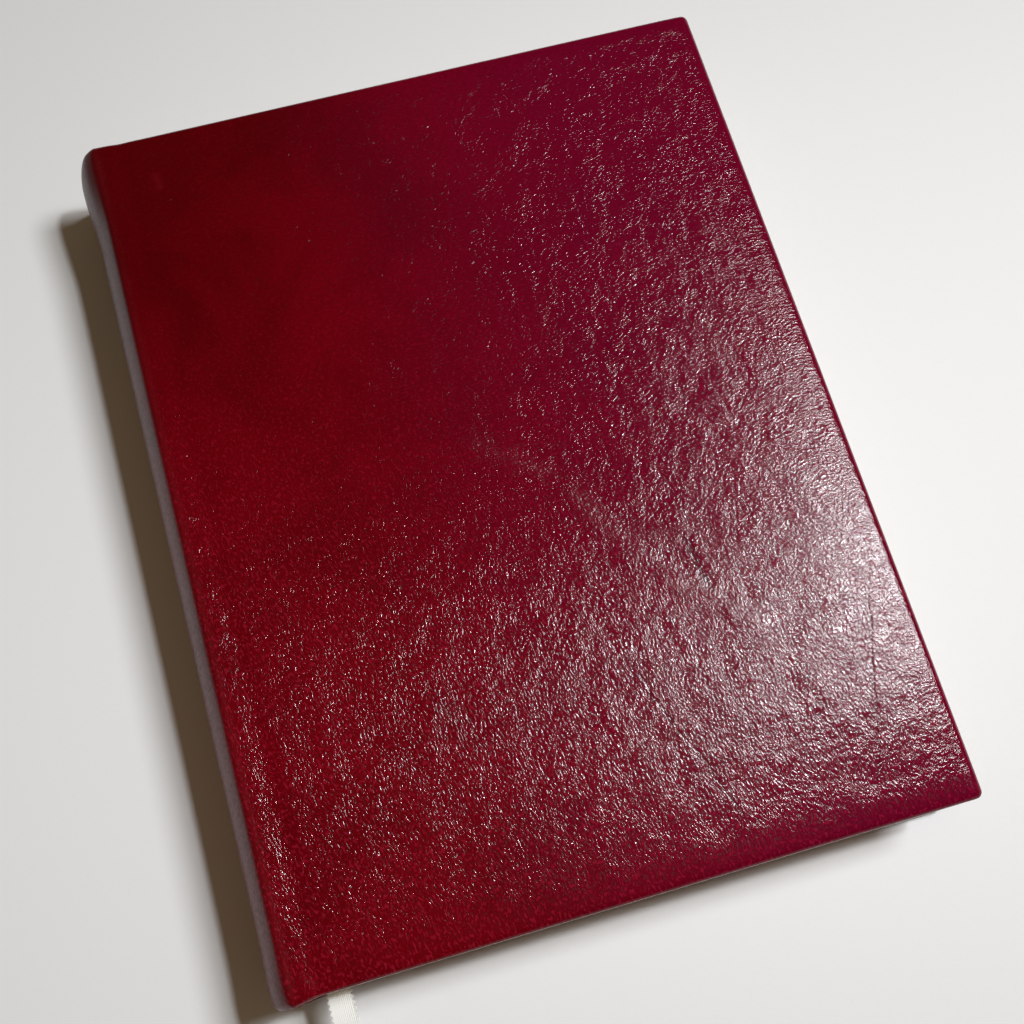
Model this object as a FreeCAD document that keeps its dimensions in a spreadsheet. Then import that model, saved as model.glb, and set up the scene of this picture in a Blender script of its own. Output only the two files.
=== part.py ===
"""Hand-bound journal in full leather, closed and lying on its back cover.

Frame, in millimetres: +X from the spine to the fore-edge, +Y from the tail to the head, +Z up.
The origin is the middle of the covers' footprint on the table.

The sewn sections, the spine and everything glued to them keep still. Each cover swings on its
joint, a line parallel to the spine and half a cover's thickness deep. Whatever of the spine lies
near that line is kept inside a cylinder about it, so that the edge of the board can pass.
"""

import FreeCAD
import Part
import Sketcher

import math
import os

DRIVING_SIZES = [
    # the covers
    ("cover_height", 209.0, "boards, head to tail"),
    ("cover_width", 160.0, "back of the spine to the fore-edge"),
    ("book_thick", 28.6, "over both covers"),
    ("board_thick", 2.8, "greyboard"),
    ("leather_thick", 0.9, "pared calf"),
    ("turn_in_thick", 0.6, "leather pared for turning in"),
    ("turn_in_width", 15.0, "leather turned over a board's edge"),
    ("paper_thick", 0.2, "endpaper"),
    ("board_corner", 1.5, "radius of a board's two outer corners"),
    ("edge_round", 1.4, "rounding of the leather over a board's edge"),
    ("turned_round", 0.5, "rounding of the leather where it turns in"),
    ("cover_gap", 0.3, "air between a pastedown and its flyleaf"),
    # the spine
    ("spine_round", 9.4, "how far the spine bulges past its two edges"),
    ("spine_card_thick", 0.8, "card under the leather"),
    ("lining_thick", 0.35, "kraft paper"),
    ("mull_thick", 0.25, "open cotton cloth"),
    ("mull_inset", 12.0, "mull and lining stop this short of the head and tail"),
    ("layer_gap", 0.05, "paste and air between curved layers"),
    ("spine_play", 0.1, "air in the hollow back"),
    ("arc_step", 2.0, "degrees by which each layer stops short of the one below"),
    ("cap_rise", 0.6, "crown of the leather caps past the ends of the boards"),
    ("cap_round", 0.6, "rounding of the leather over the caps"),
    # the joints
    ("joint_flat", 1.1, "flat leather between the spine's curve and the boards"),
    ("joint_clear", 0.2, "running clearance at a joint"),
    ("joint_sweep", 60.0, "degrees either way that the clearance runs round a joint"),
    ("swing_clear", 0.35, "between an opened cover and the spine"),
    # the sections and what holds them
    ("square", 3.0, "cover past the pages on three sides"),
    ("sections", 14, "folded sections, a count"),
    ("section_notch", 0.35, "depth of the valley between two folds"),
    ("notch_angle", 3.0, "degrees of the back that a valley takes"),
    ("fore_edge_hollow", 3.5, "depth of the hollow fore-edge"),
    ("shoulder_angle", 4.3, "degrees of the back that each shoulder takes"),
    ("shoulder_gap", 1.0, "tip of a shoulder to its board"),
    ("shoulder_foot", 0.4, "foot of a shoulder to its board"),
    ("thread_size", 0.45, "linen thread"),
    ("thread_leg", 0.3, "how far a stitch reaches past its tape"),
    ("kettle_inset", 9.0, "kettle chain to the head or tail of the pages"),
    ("tape_thick", 0.4, "linen tape"),
    ("tape_width", 12.0, "linen tape"),
    ("tape_pitch", 52.0, "between the middles of two tapes"),
    ("bead_size", 2.2, "thickness of a headband's bead"),
    ("band_tab", 5.0, "a headband's cloth on the back of the sections"),
    # what lies on the boards
    ("paste_margin", 3.5, "pastedown to a board's covered edge"),
    ("flap_width", 25.0, "mull glued on a board"),
    ("infill_gap", 0.5, "round the infill card"),
    # the ribbon
    ("ribbon_width", 6.0, "over its picots"),
    ("ribbon_thick", 0.3, "satin"),
    ("ribbon_setback", 14.0, "back of the spine to the middle of the ribbon"),
    ("ribbon_clear", 0.06, "between the ribbon and the pages"),
    ("ribbon_stub", 1.0, "ribbon past the pages at the head"),
    ("ribbon_lead", 5.5, "where the ribbon begins to droop, past the pages at the tail"),
]

WORKED_SIZES = [
    ("cover_thick", "leather_thick + board_thick + turn_in_thick + paper_thick"),
    ("mid_thick", "book_thick / 2"),
    ("fore_x", "cover_width / 2"),
    ("cover_half", "cover_height / 2"),
    ("page_half", "cover_half - square"),
    ("page_fore_x", "fore_x - square"),
    ("block_half", "mid_thick - cover_thick - cover_gap - paper_thick"),
    ("spine_radius", "(mid_thick ^ 2 + spine_round ^ 2) / (2 * spine_round)"),
    ("spine_x", "spine_radius - fore_x"),
    # radii of the spine's layers, from the leather inwards
    ("skin_inner", "spine_radius - leather_thick"),
    ("card_outer", "skin_inner - layer_gap"),
    ("card_inner", "card_outer - spine_card_thick"),
    ("turn_outer", "card_inner - layer_gap"),
    ("turn_inner", "turn_outer - turn_in_thick"),
    ("lining_outer", "turn_inner - spine_play"),
    ("lining_inner", "lining_outer - lining_thick"),
    ("mull_outer", "lining_inner - layer_gap"),
    ("mull_inner", "mull_outer - mull_thick"),
    ("thread_outer", "mull_inner - layer_gap"),
    ("thread_inner", "thread_outer - thread_size"),
    ("tape_outer", "thread_inner - layer_gap"),
    ("tape_inner", "tape_outer - tape_thick"),
    ("back_radius", "tape_inner - layer_gap"),
    # half angles of those layers
    ("skin_angle", "asin(mid_thick / spine_radius)"),
    ("skin_inner_angle", "asin((mid_thick - leather_thick) / skin_inner)"),
    ("back_angle", "asin(block_half / back_radius) - shoulder_angle * 1 deg"),
    ("lining_angle", "back_angle - arc_step * 1 deg"),
    ("tape_angle", "lining_angle - arc_step * 1 deg"),
    ("section_angle", "2 * back_angle / sections"),
    ("card_angle", "skin_inner_angle - 4 * arc_step * 1 deg"),
    ("cap_radius", "(mid_thick ^ 2 + cap_rise ^ 2) / (2 * cap_rise)"),
    # the joint: the opened board lies just behind the spine, at the same height
    ("joint_setback", "spine_round + joint_flat"),
    ("near_x", "joint_setback - fore_x"),
    ("hinge_rise", "cover_thick / 2"),
    ("flank_x", "spine_x - sqrt(spine_radius ^ 2 - (mid_thick - cover_thick) ^ 2)"),
    ("hinge_x", "(near_x + flank_x - swing_clear) / 2"),
    ("knuckle", "near_x - hinge_x - joint_clear"),
    # the shoulders, as they stand from the middle of the spine's curve
    ("shoulder_x", "near_x - shoulder_gap - spine_x"),
    ("shoulder_radius", "lining_outer - spine_play"),
    ("shoulder_z", "sqrt(shoulder_radius ^ 2 - shoulder_x ^ 2)"),
    ("fore_radius", "(block_half ^ 2 + fore_edge_hollow ^ 2) / (2 * fore_edge_hollow)"),
    # the ribbon
    ("ribbon_x", "ribbon_setback - fore_x"),
]

# The ribbon's route once it droops: distance from the tail of the pages, height of its middle.
RIBBON_ROUTE = [
    (15.5, 10.9),
    (23.5, 4.9),
    (31.0, 1.1),
    (40.0, 0.45),
    (48.5, 0.36),
]
ARC_SHARE = 0.45

TINY = 1e-6

doc = FreeCAD.newDocument("journal")
sizes = doc.addObject("Spreadsheet::Sheet", "Sizes")
parts = []


def fill_sheet():
    """Writes the driving sizes as plain numbers and the worked sizes as formulas."""
    row = 0
    for alias, value, note in DRIVING_SIZES:
        row += 1
        sizes.set(f"A{row}", alias)
        sizes.set(f"B{row}", str(value))
        sizes.set(f"C{row}", note)
        sizes.setAlias(f"B{row}", alias)
    for alias, formula in WORKED_SIZES:
        row += 1
        sizes.set(f"A{row}", alias)
        sizes.set(f"B{row}", "=" + formula)
        sizes.setAlias(f"B{row}", alias)
    doc.recompute()


def number(expression):
    """The plain number that an expression on the sheet gives now."""
    value = sizes.evalExpression(str(expression))
    return float(getattr(value, "Value", value))


def new_body(label, x="0", z="0"):
    """A body whose own origin stands at x, z in the book."""
    body = doc.addObject("PartDesign::Body", label)
    body.Label = label
    body.setExpression(".Placement.Base.x", x)
    body.setExpression(".Placement.Base.z", z)
    parts.append(body)
    return body


def new_spine_body(label):
    """A body whose own Y axis is the middle of the spine's curve."""
    return new_body(label, "Sizes.spine_x", "Sizes.mid_thick")


def origin_feature(body, role):
    """One of a body's own planes or axes."""
    return next(f for f in body.Origin.OriginFeatures if f.Role == role)


def arc_centre(start, end, radius, side):
    """The middle of an arc from start to end, on the left of the way there if side is 1."""
    chord = end - start
    across = FreeCAD.Vector(-chord.y, chord.x, 0).normalize()
    drop = math.sqrt(max(radius**2 - (chord.Length / 2) ** 2, 0))
    return (start + end) * 0.5 + across * drop * side


def outline(body, name, plane, corners, arcs=None, lift="0"):
    """A closed sketch through corners, pairs of expressions, on one of the body's planes.

    arcs gives, for each side that is one, the radius and on which side its centre lies.
    lift moves the sketch along its plane's normal.
    """
    arcs = arcs or {}
    sketch = body.newObject("Sketcher::SketchObject", name)
    sketch.AttachmentSupport = [(origin_feature(body, plane), "")]
    sketch.MapMode = "FlatFace"
    sketch.setExpression(".AttachmentOffset.Base.z", lift)
    points = [FreeCAD.Vector(number(x), number(y), 0) for x, y in corners]
    count = len(points)
    ends = []
    for i, start in enumerate(points):
        end = points[(i + 1) % count]
        if i not in arcs:
            sketch.addGeometry(Part.LineSegment(start, end), False)
            ends.append((1, 2))
            continue
        radius, side = arcs[i]
        centre = arc_centre(start, end, number(radius), side)
        first, last = (start, end) if side > 0 else (end, start)
        angles = [math.atan2(p.y - centre.y, p.x - centre.x) for p in (first, last)]
        circle = Part.Circle(centre, FreeCAD.Vector(0, 0, 1), number(radius))
        sketch.addGeometry(Part.ArcOfCircle(circle, *angles), False)
        ends.append((1, 2) if side > 0 else (2, 1))
    for i in range(count):
        after = (i + 1) % count
        sketch.addConstraint(Sketcher.Constraint("Coincident", i, ends[i][1], after, ends[after][0]))
    for i, corner in enumerate(corners):
        for kind, expression, value in zip(("DistanceX", "DistanceY"), corner, points[i]):
            made = sketch.addConstraint(Sketcher.Constraint(kind, -1, 1, i, ends[i][0], value))
            sketch.renameConstraint(made, f"{kind}{i}")
            sketch.setExpression(f".Constraints.{kind}{i}", str(expression))
    for i, (radius, _) in arcs.items():
        made = sketch.addConstraint(Sketcher.Constraint("Radius", i, number(radius)))
        sketch.renameConstraint(made, f"radius{i}")
        sketch.setExpression(f".Constraints.radius{i}", str(radius))
    return sketch


def disc(body, name, plane, centre, radius):
    """A sketch of one circle on one of the body's planes."""
    sketch = body.newObject("Sketcher::SketchObject", name)
    sketch.AttachmentSupport = [(origin_feature(body, plane), "")]
    sketch.MapMode = "FlatFace"
    middle = FreeCAD.Vector(number(centre[0]), number(centre[1]), 0)
    sketch.addGeometry(Part.Circle(middle, FreeCAD.Vector(0, 0, 1), number(radius)), False)
    wanted = (("DistanceX", centre[0]), ("DistanceY", centre[1]))
    for kind, expression in wanted:
        made = sketch.addConstraint(Sketcher.Constraint(kind, -1, 1, 0, 3, number(expression)))
        sketch.renameConstraint(made, kind)
        sketch.setExpression(f".Constraints.{kind}", expression)
    made = sketch.addConstraint(Sketcher.Constraint("Radius", 0, number(radius)))
    sketch.renameConstraint(made, "radius")
    sketch.setExpression(".Constraints.radius", radius)
    return sketch


def volume(body):
    """The body's volume once everything in it is up to date."""
    doc.recompute()
    return body.Shape.Volume


def pad(body, sketch, length, both_ways=False):
    """Adds the sketch's area, along its normal or half each way."""
    feature = body.newObject("PartDesign::Pad", sketch.Name + "_pad")
    feature.Profile = sketch
    feature.SideType = "Symmetric" if both_ways else "One side"
    feature.setExpression("Length", length)
    body.Tip = feature
    return feature


def pocket(body, sketch, length, along_normal=True, both_ways=False):
    """Cuts the sketch's area and makes sure that something went."""
    before = volume(body)
    feature = body.newObject("PartDesign::Pocket", sketch.Name + "_pocket")
    feature.Profile = sketch
    feature.SideType = "Symmetric" if both_ways else "One side"
    feature.Reversed = along_normal
    feature.setExpression("Length", length)
    body.Tip = feature
    if volume(body) >= before:
        raise RuntimeError(f"{feature.Name} cut nothing")
    return feature


def polar(body, feature, name, span, count):
    """Repeats a feature about the body's own Y axis."""
    pattern = body.newObject("PartDesign::PolarPattern", name)
    pattern.Originals = [feature]
    pattern.Axis = (origin_feature(body, "Y_Axis"), [""])
    pattern.setExpression("Angle", span)
    pattern.setExpression("Occurrences", count)
    body.Tip = pattern
    return pattern


def on_arc(radius, angle):
    """The corner at a radius and an angle up from the back of the spine, in a spine body."""
    return (f"-{radius} * cos({angle})", f"{radius} * sin({angle})")


def band_corners(outer, inner, angle):
    """A curved strip about the spine's middle, as corners and arcs for an outline."""
    corners = [
        on_arc(outer, angle),
        on_arc(outer, f"-{angle}"),
        on_arc(inner, f"-{angle}"),
        on_arc(inner, angle),
    ]
    return corners, {0: (outer, 1), 2: (inner, -1)}


def curved_layer(label, outer, inner, angle, length, middle="0"):
    """A layer bent round the spine, of a length, about a place along the spine."""
    body = new_spine_body(label)
    corners, arcs = band_corners(outer, inner, angle)
    sketch = outline(body, label + "_band", "XZ_Plane", corners, arcs, lift=f"-({middle})")
    pad(body, sketch, length, both_ways=True)
    return body


def make_text_block():
    """Folded sections with a rounded back, two shoulders and a hollow fore-edge."""
    body = new_spine_body("text_block")
    foot = "Sizes.near_x - Sizes.shoulder_foot - Sizes.spine_x"
    fore = "Sizes.page_fore_x - Sizes.spine_x"
    corners = [
        (foot, "Sizes.block_half"),
        ("Sizes.shoulder_x", "Sizes.shoulder_z"),
        on_arc("Sizes.back_radius", "Sizes.back_angle"),
        on_arc("Sizes.back_radius", "-Sizes.back_angle"),
        ("Sizes.shoulder_x", "-Sizes.shoulder_z"),
        (foot, "-Sizes.block_half"),
        (fore, "-Sizes.block_half"),
        (fore, "Sizes.block_half"),
    ]
    arcs = {2: ("Sizes.back_radius", 1), 6: ("Sizes.fore_radius", -1)}
    profile = outline(body, "sections", "XZ_Plane", corners, arcs)
    pad(body, profile, "2 * Sizes.page_half", both_ways=True)

    start = "(Sizes.back_angle - Sizes.section_angle)"
    rim = "(Sizes.back_radius + Sizes.layer_gap)"
    half_notch = "Sizes.notch_angle / 2 * 1 deg"
    valley = [
        on_arc(rim, f"({start} + {half_notch})"),
        on_arc(rim, f"({start} - {half_notch})"),
        on_arc("(Sizes.back_radius - Sizes.section_notch)", start),
    ]
    notch = outline(body, "valley", "XZ_Plane", valley)
    cut = pocket(body, notch, "2 * Sizes.page_half", both_ways=True)
    before = volume(body)
    span = "2 * Sizes.back_angle - 2 * Sizes.section_angle"
    pattern = polar(body, cut, "valleys", span, "Sizes.sections - 1")
    pattern.Reversed = True
    if volume(body) >= before:
        raise RuntimeError("the valleys between the sections are missing")

    low = "Sizes.ribbon_x - Sizes.spine_x - Sizes.ribbon_width / 2 - Sizes.ribbon_clear"
    high = "Sizes.ribbon_x - Sizes.spine_x + Sizes.ribbon_width / 2 + Sizes.ribbon_clear"
    top = "Sizes.ribbon_thick / 2 + Sizes.ribbon_clear"
    slot = [(low, f"-({top})"), (high, f"-({top})"), (high, top), (low, top)]
    opening = outline(body, "ribbon_slot", "XZ_Plane", slot)
    pocket(body, opening, "2 * Sizes.page_half", both_ways=True)


def make_sewing_thread():
    """A stitch over each tape in each section, and the kettle chains at both ends."""
    body = new_spine_body("sewing_thread")
    body.AllowCompound = True
    chain_angle = "Sizes.tape_angle"
    corners, arcs = band_corners("Sizes.thread_outer", "Sizes.thread_inner", chain_angle)
    for name, side in (("head_chain", "-1"), ("tail_chain", "1")):
        lift = f"{side} * (Sizes.page_half - Sizes.kettle_inset)"
        sketch = outline(body, name, "XZ_Plane", corners, arcs, lift=lift)
        pad(body, sketch, "Sizes.thread_size", both_ways=True)

    tilt = "(Sizes.back_angle - Sizes.section_angle / 2)"
    reach = "(Sizes.tape_width / 2 + Sizes.thread_leg)"
    inside = "(Sizes.tape_width / 2 + Sizes.layer_gap)"
    for row in (-1, 0, 1):
        middle = f"{row} * Sizes.tape_pitch"
        profile = [
            ("-Sizes.thread_outer", f"{middle} - {reach}"),
            ("-Sizes.thread_outer", f"{middle} + {reach}"),
            ("-Sizes.back_radius", f"{middle} + {reach}"),
            ("-Sizes.back_radius", f"{middle} + {inside}"),
            ("-Sizes.thread_inner", f"{middle} + {inside}"),
            ("-Sizes.thread_inner", f"{middle} - {inside}"),
            ("-Sizes.back_radius", f"{middle} - {inside}"),
            ("-Sizes.back_radius", f"{middle} - {reach}"),
        ]
        name = ("tail", "middle", "head")[row + 1]
        sketch = outline(body, f"{name}_stitch", "XY_Plane", profile)
        sketch.setExpression(".AttachmentOffset.Rotation.Angle", tilt)
        sketch.AttachmentOffset.Rotation.Axis = FreeCAD.Vector(0, 1, 0)
        stitch = pad(body, sketch, "Sizes.thread_size", both_ways=True)
        span = "2 * Sizes.back_angle - Sizes.section_angle"
        polar(body, stitch, f"{name}_stitches", span, "Sizes.sections").Reversed = True


def make_headband(label, end):
    """A cloth tab on the back of the sections, with a bead along the edge of the pages."""
    body = new_spine_body(label)
    tab = [
        ("-Sizes.tape_outer", f"{end} * (Sizes.page_half - Sizes.band_tab)"),
        ("-Sizes.tape_outer", f"{end} * (Sizes.page_half + Sizes.bead_size / 2)"),
        ("-Sizes.tape_inner", f"{end} * (Sizes.page_half + Sizes.bead_size / 2)"),
        ("-Sizes.tape_inner", f"{end} * (Sizes.page_half - Sizes.band_tab)"),
    ]
    bead_middle = (
        "Sizes.bead_size / 2 - Sizes.tape_outer",
        f"{end} * (Sizes.page_half + Sizes.layer_gap + Sizes.bead_size / 2)",
    )
    sketches = [
        outline(body, f"{label}_tab", "XY_Plane", tab),
        disc(body, f"{label}_bead", "XY_Plane", bead_middle, "Sizes.bead_size / 2"),
    ]
    for sketch in sketches:
        feature = body.newObject("PartDesign::Revolution", sketch.Name + "_turned")
        feature.Profile = sketch
        feature.ReferenceAxis = (origin_feature(body, "Y_Axis"), [""])
        feature.Midplane = True
        feature.setExpression("Angle", "2 * Sizes.tape_angle")
        body.Tip = feature


def make_spine_leather():
    """The skin over the spine and both joints, turned in over the card at head and tail."""
    body = new_spine_body("spine_leather")
    reach = "Sizes.near_x - Sizes.spine_x"
    inner_z = "(Sizes.mid_thick - Sizes.leather_thick)"
    corners = [
        on_arc("Sizes.spine_radius", "Sizes.skin_angle"),
        on_arc("Sizes.spine_radius", "-Sizes.skin_angle"),
        (reach, "-Sizes.mid_thick"),
        (reach, f"-{inner_z}"),
        on_arc("Sizes.skin_inner", "-Sizes.skin_inner_angle"),
        on_arc("Sizes.skin_inner", "Sizes.skin_inner_angle"),
        (reach, inner_z),
        (reach, "Sizes.mid_thick"),
    ]
    arcs = {0: ("Sizes.spine_radius", 1), 4: ("Sizes.skin_inner", -1)}
    skin = outline(body, "skin", "XZ_Plane", corners, arcs)
    pad(body, skin, "Sizes.cover_height + 2 * Sizes.cap_rise", both_ways=True)

    wall, wall_arcs = band_corners("(Sizes.skin_inner + Sizes.leather_thick / 2)",
                                   "Sizes.turn_inner", "Sizes.card_angle")
    flap, flap_arcs = band_corners("Sizes.turn_outer", "Sizes.turn_inner", "Sizes.card_angle")
    for name, end in (("head", -1), ("tail", 1)):
        lift = f"{end} * (Sizes.cover_half + (Sizes.cap_rise - Sizes.leather_thick) / 2)"
        fold = outline(body, f"{name}_fold", "XZ_Plane", wall, wall_arcs, lift=lift)
        pad(body, fold, "Sizes.leather_thick + Sizes.cap_rise", both_ways=True)
        lift = f"{end} * (Sizes.cover_half - Sizes.turn_in_width / 2)"
        turned = outline(body, f"{name}_turn_in", "XZ_Plane", flap, flap_arcs, lift=lift)
        pad(body, turned, "Sizes.turn_in_width", both_ways=True)
    clear_joints(body)
    crown_caps(body)


def clear_joints(body):
    """Cuts the leather back to a cylinder about each joint, so that the cover's edge can pass."""
    chord_x = "Sizes.hinge_x - Sizes.spine_x + Sizes.knuckle * cos(Sizes.joint_sweep * 1 deg)"
    rise = "Sizes.knuckle * sin(Sizes.joint_sweep * 1 deg)"
    beyond = "Sizes.near_x - Sizes.spine_x + Sizes.knuckle"
    for name, side in (("front", 1), ("back", -1)):
        axis_z = f"{side} * (Sizes.mid_thick - Sizes.hinge_rise)"
        outside = [
            (chord_x, f"{axis_z} - {rise}"),
            (chord_x, f"{axis_z} + {rise}"),
            (beyond, f"{axis_z} + {rise}"),
            (beyond, f"{axis_z} - {rise}"),
        ]
        sketch = outline(body, f"{name}_joint", "XZ_Plane", outside, {0: ("Sizes.knuckle", 1)})
        pocket(body, sketch, "2 * Sizes.cover_height", both_ways=True)


def crown_caps(body):
    """Trims the ends of the spine to a low crown that meets the boards, and rounds them."""
    for name, end in (("head", 1), ("tail", -1)):
        beyond = f"{end} * (Sizes.cover_half + 2 * Sizes.cap_rise)"
        level = f"{end} * Sizes.cover_half"
        outside = [
            (level, f"{-end} * Sizes.mid_thick"),
            (level, f"{end} * Sizes.mid_thick"),
            (beyond, f"{end} * Sizes.mid_thick"),
            (beyond, f"{-end} * Sizes.mid_thick"),
        ]
        crown = outline(body, f"{name}_crown", "YZ_Plane", outside, {0: ("Sizes.cap_radius", 1)})
        pocket(body, crown, "4 * Sizes.spine_radius", both_ways=True)
    doc.recompute()
    radius = number("Sizes.spine_radius")
    half = number("Sizes.cover_half")
    rims = []
    for index, edge in enumerate(body.Tip.Shape.Edges, start=1):
        first = edge.valueAt(edge.FirstParameter)
        last = edge.valueAt(edge.LastParameter)
        middle = edge.valueAt((edge.FirstParameter + edge.LastParameter) / 2)
        crossing = abs(first.y - last.y) < TINY and abs(middle.y) > half + TINY
        if crossing and abs(math.hypot(middle.x, middle.z) - radius) < TINY:
            rims.append(f"Edge{index}")
    round_edges(body, "cap_rounding", rims, "Sizes.cap_round")


def rim_edges(body, level):
    """The names of the edges round a cover's three outer sides, at a level of its drawing."""
    doc.recompute()
    height, fore_x, half = number(level), number("Sizes.fore_x"), number("Sizes.cover_half")
    reach = (number("Sizes.board_corner") + number("Sizes.leather_thick")) / 2
    found = []
    for index, edge in enumerate(body.Tip.Shape.Edges, start=1):
        middle = edge.valueAt((edge.FirstParameter + edge.LastParameter) / 2)
        first, last = (edge.valueAt(at) for at in (edge.FirstParameter, edge.LastParameter))
        level_run = abs(first.z - height) + abs(last.z - height) + abs(middle.z - height) < TINY
        past = max(middle.x - fore_x, abs(middle.y) - half)
        if level_run and past > -reach and middle.x > number("Sizes.near_x") + TINY:
            found.append(f"Edge{index}")
    return found


def round_edges(body, name, edges, radius):
    """Rounds named edges of what the body holds so far."""
    base = body.Tip
    feature = body.newObject("PartDesign::Fillet", name)
    feature.Base = (base, edges)
    feature.setExpression("Radius", radius)
    body.Tip = feature


def place_cover(body, side):
    """Leaves the back cover as it is drawn, and turns the front one over onto the pages."""
    if side == "front":
        body.Placement = FreeCAD.Placement(
            FreeCAD.Vector(0, 0, 0), FreeCAD.Rotation(FreeCAD.Vector(1, 0, 0), 180)
        )
        body.setExpression(".Placement.Base.z", "Sizes.book_thick")


def rectangle(low_x, high_x, half_y, corner=None):
    """A sheet's outline in a cover, with its two fore-edge corners rounded if asked."""
    if corner is None:
        return [
            (low_x, f"-({half_y})"), (high_x, f"-({half_y})"), (high_x, half_y), (low_x, half_y)
        ], {}
    corners = [
        (low_x, f"-({half_y})"),
        (f"{high_x} - {corner}", f"-({half_y})"),
        (high_x, f"-({half_y} - {corner})"),
        (high_x, f"{half_y} - {corner}"),
        (f"{high_x} - {corner}", half_y),
        (low_x, half_y),
    ]
    return corners, {1: (corner, 1), 3: (corner, 1)}


def flat_piece(side, name, low_x, high_x, half_y, low_z, thick, corner=None):
    """A flat layer of a cover, drawn with the cover's outer face at z = 0."""
    label = f"{side}_{name}"
    body = new_body(label)
    place_cover(body, side)
    corners, arcs = rectangle(low_x, high_x, half_y, corner)
    sketch = outline(body, label + "_outline", "XY_Plane", corners, arcs, lift=low_z)
    pad(body, sketch, thick)
    return body


def make_cover_leather(side):
    """The skin over a board, wrapped round three of its edges and turned in."""
    corner = "(Sizes.board_corner + Sizes.leather_thick)"
    turned_z = "(Sizes.leather_thick + Sizes.board_thick)"
    body = flat_piece(side, "leather", "Sizes.near_x", "Sizes.fore_x", "Sizes.cover_half",
                      "0", f"{turned_z} + Sizes.turn_in_thick", corner)
    past_near = "Sizes.near_x - Sizes.turn_in_width"
    corners, arcs = rectangle(past_near, "Sizes.fore_x - Sizes.leather_thick",
                              "Sizes.cover_half - Sizes.leather_thick", "Sizes.board_corner")
    room = outline(body, f"{side}_board_room", "XY_Plane", corners, arcs, "Sizes.leather_thick")
    pocket(body, room, "Sizes.board_thick")
    corners, _ = rectangle(past_near, "Sizes.fore_x - Sizes.turn_in_width",
                           "Sizes.cover_half - Sizes.turn_in_width")
    window = outline(body, f"{side}_window", "XY_Plane", corners, lift=turned_z)
    pocket(body, window, "2 * Sizes.turn_in_thick")

    round_edges(body, f"{side}_rounding", rim_edges(body, "0"), "Sizes.edge_round")
    top = f"{turned_z} + Sizes.turn_in_thick"
    round_edges(body, f"{side}_turned_rounding", rim_edges(body, top), "Sizes.turned_round")


def make_cover(side):
    """Leather, board, infill card, mull end and pastedown of one cover."""
    make_cover_leather(side)
    turned_z = "(Sizes.leather_thick + Sizes.board_thick)"
    room = "(Sizes.leather_thick + Sizes.layer_gap)"
    flat_piece(side, "board", "Sizes.near_x", f"Sizes.fore_x - {room}",
               f"Sizes.cover_half - {room}", "Sizes.leather_thick", "Sizes.board_thick",
               "Sizes.board_corner")
    window_y = "Sizes.cover_half - Sizes.turn_in_width - Sizes.infill_gap"
    flap_x = "Sizes.near_x + Sizes.flap_width"
    flat_piece(side, "mull_flap", "Sizes.near_x", flap_x, window_y, turned_z,
               "Sizes.turn_in_thick")
    flat_piece(side, "infill", f"{flap_x} + Sizes.infill_gap",
               "Sizes.fore_x - Sizes.turn_in_width - Sizes.infill_gap", window_y, turned_z,
               "Sizes.turn_in_thick")
    margin = "Sizes.paste_margin"
    flat_piece(side, "pastedown", "Sizes.near_x", f"Sizes.fore_x - {margin}",
               f"Sizes.cover_half - {margin}", f"{turned_z} + Sizes.turn_in_thick",
               "Sizes.paper_thick")


def make_flyleaf(label, low_z):
    """The free half of an endpaper, lying on the pages."""
    sheet = doc.addObject("Part::Box", label)
    sheet.Label = label
    foot = "Sizes.near_x - Sizes.shoulder_foot"
    sheet.setExpression("Length", f"Sizes.page_fore_x - ({foot})")
    sheet.setExpression("Width", "2 * Sizes.page_half")
    sheet.setExpression("Height", "Sizes.paper_thick")
    sheet.setExpression(".Placement.Base.x", foot)
    sheet.setExpression(".Placement.Base.y", "-Sizes.page_half")
    sheet.setExpression(".Placement.Base.z", low_z)
    parts.append(sheet)


def rounded_route(points):
    """Straight runs through the points, joined by arcs as large as their runs allow."""
    edges = []
    start = points[0]
    for i in range(1, len(points) - 1):
        corner = points[i]
        back, ahead = points[i - 1] - corner, points[i + 1] - corner
        turn = math.pi - back.getAngle(ahead)
        cut = ARC_SHARE * min(back.Length, ahead.Length)
        radius = cut / math.tan(turn / 2)
        print(f"ribbon bend {i}: radius {radius:.1f} mm")
        enter = corner + back.normalize() * cut
        leave = corner + ahead.normalize() * cut
        inward = (back + ahead).normalize()
        crown = corner + inward * (radius / math.cos(turn / 2) - radius)
        edges.append(Part.LineSegment(start, enter).toShape())
        edges.append(Part.Arc(enter, crown, leave).toShape())
        start = leave
    edges.append(Part.LineSegment(start, points[-1]).toShape())
    return Part.Wire(edges)


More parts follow.
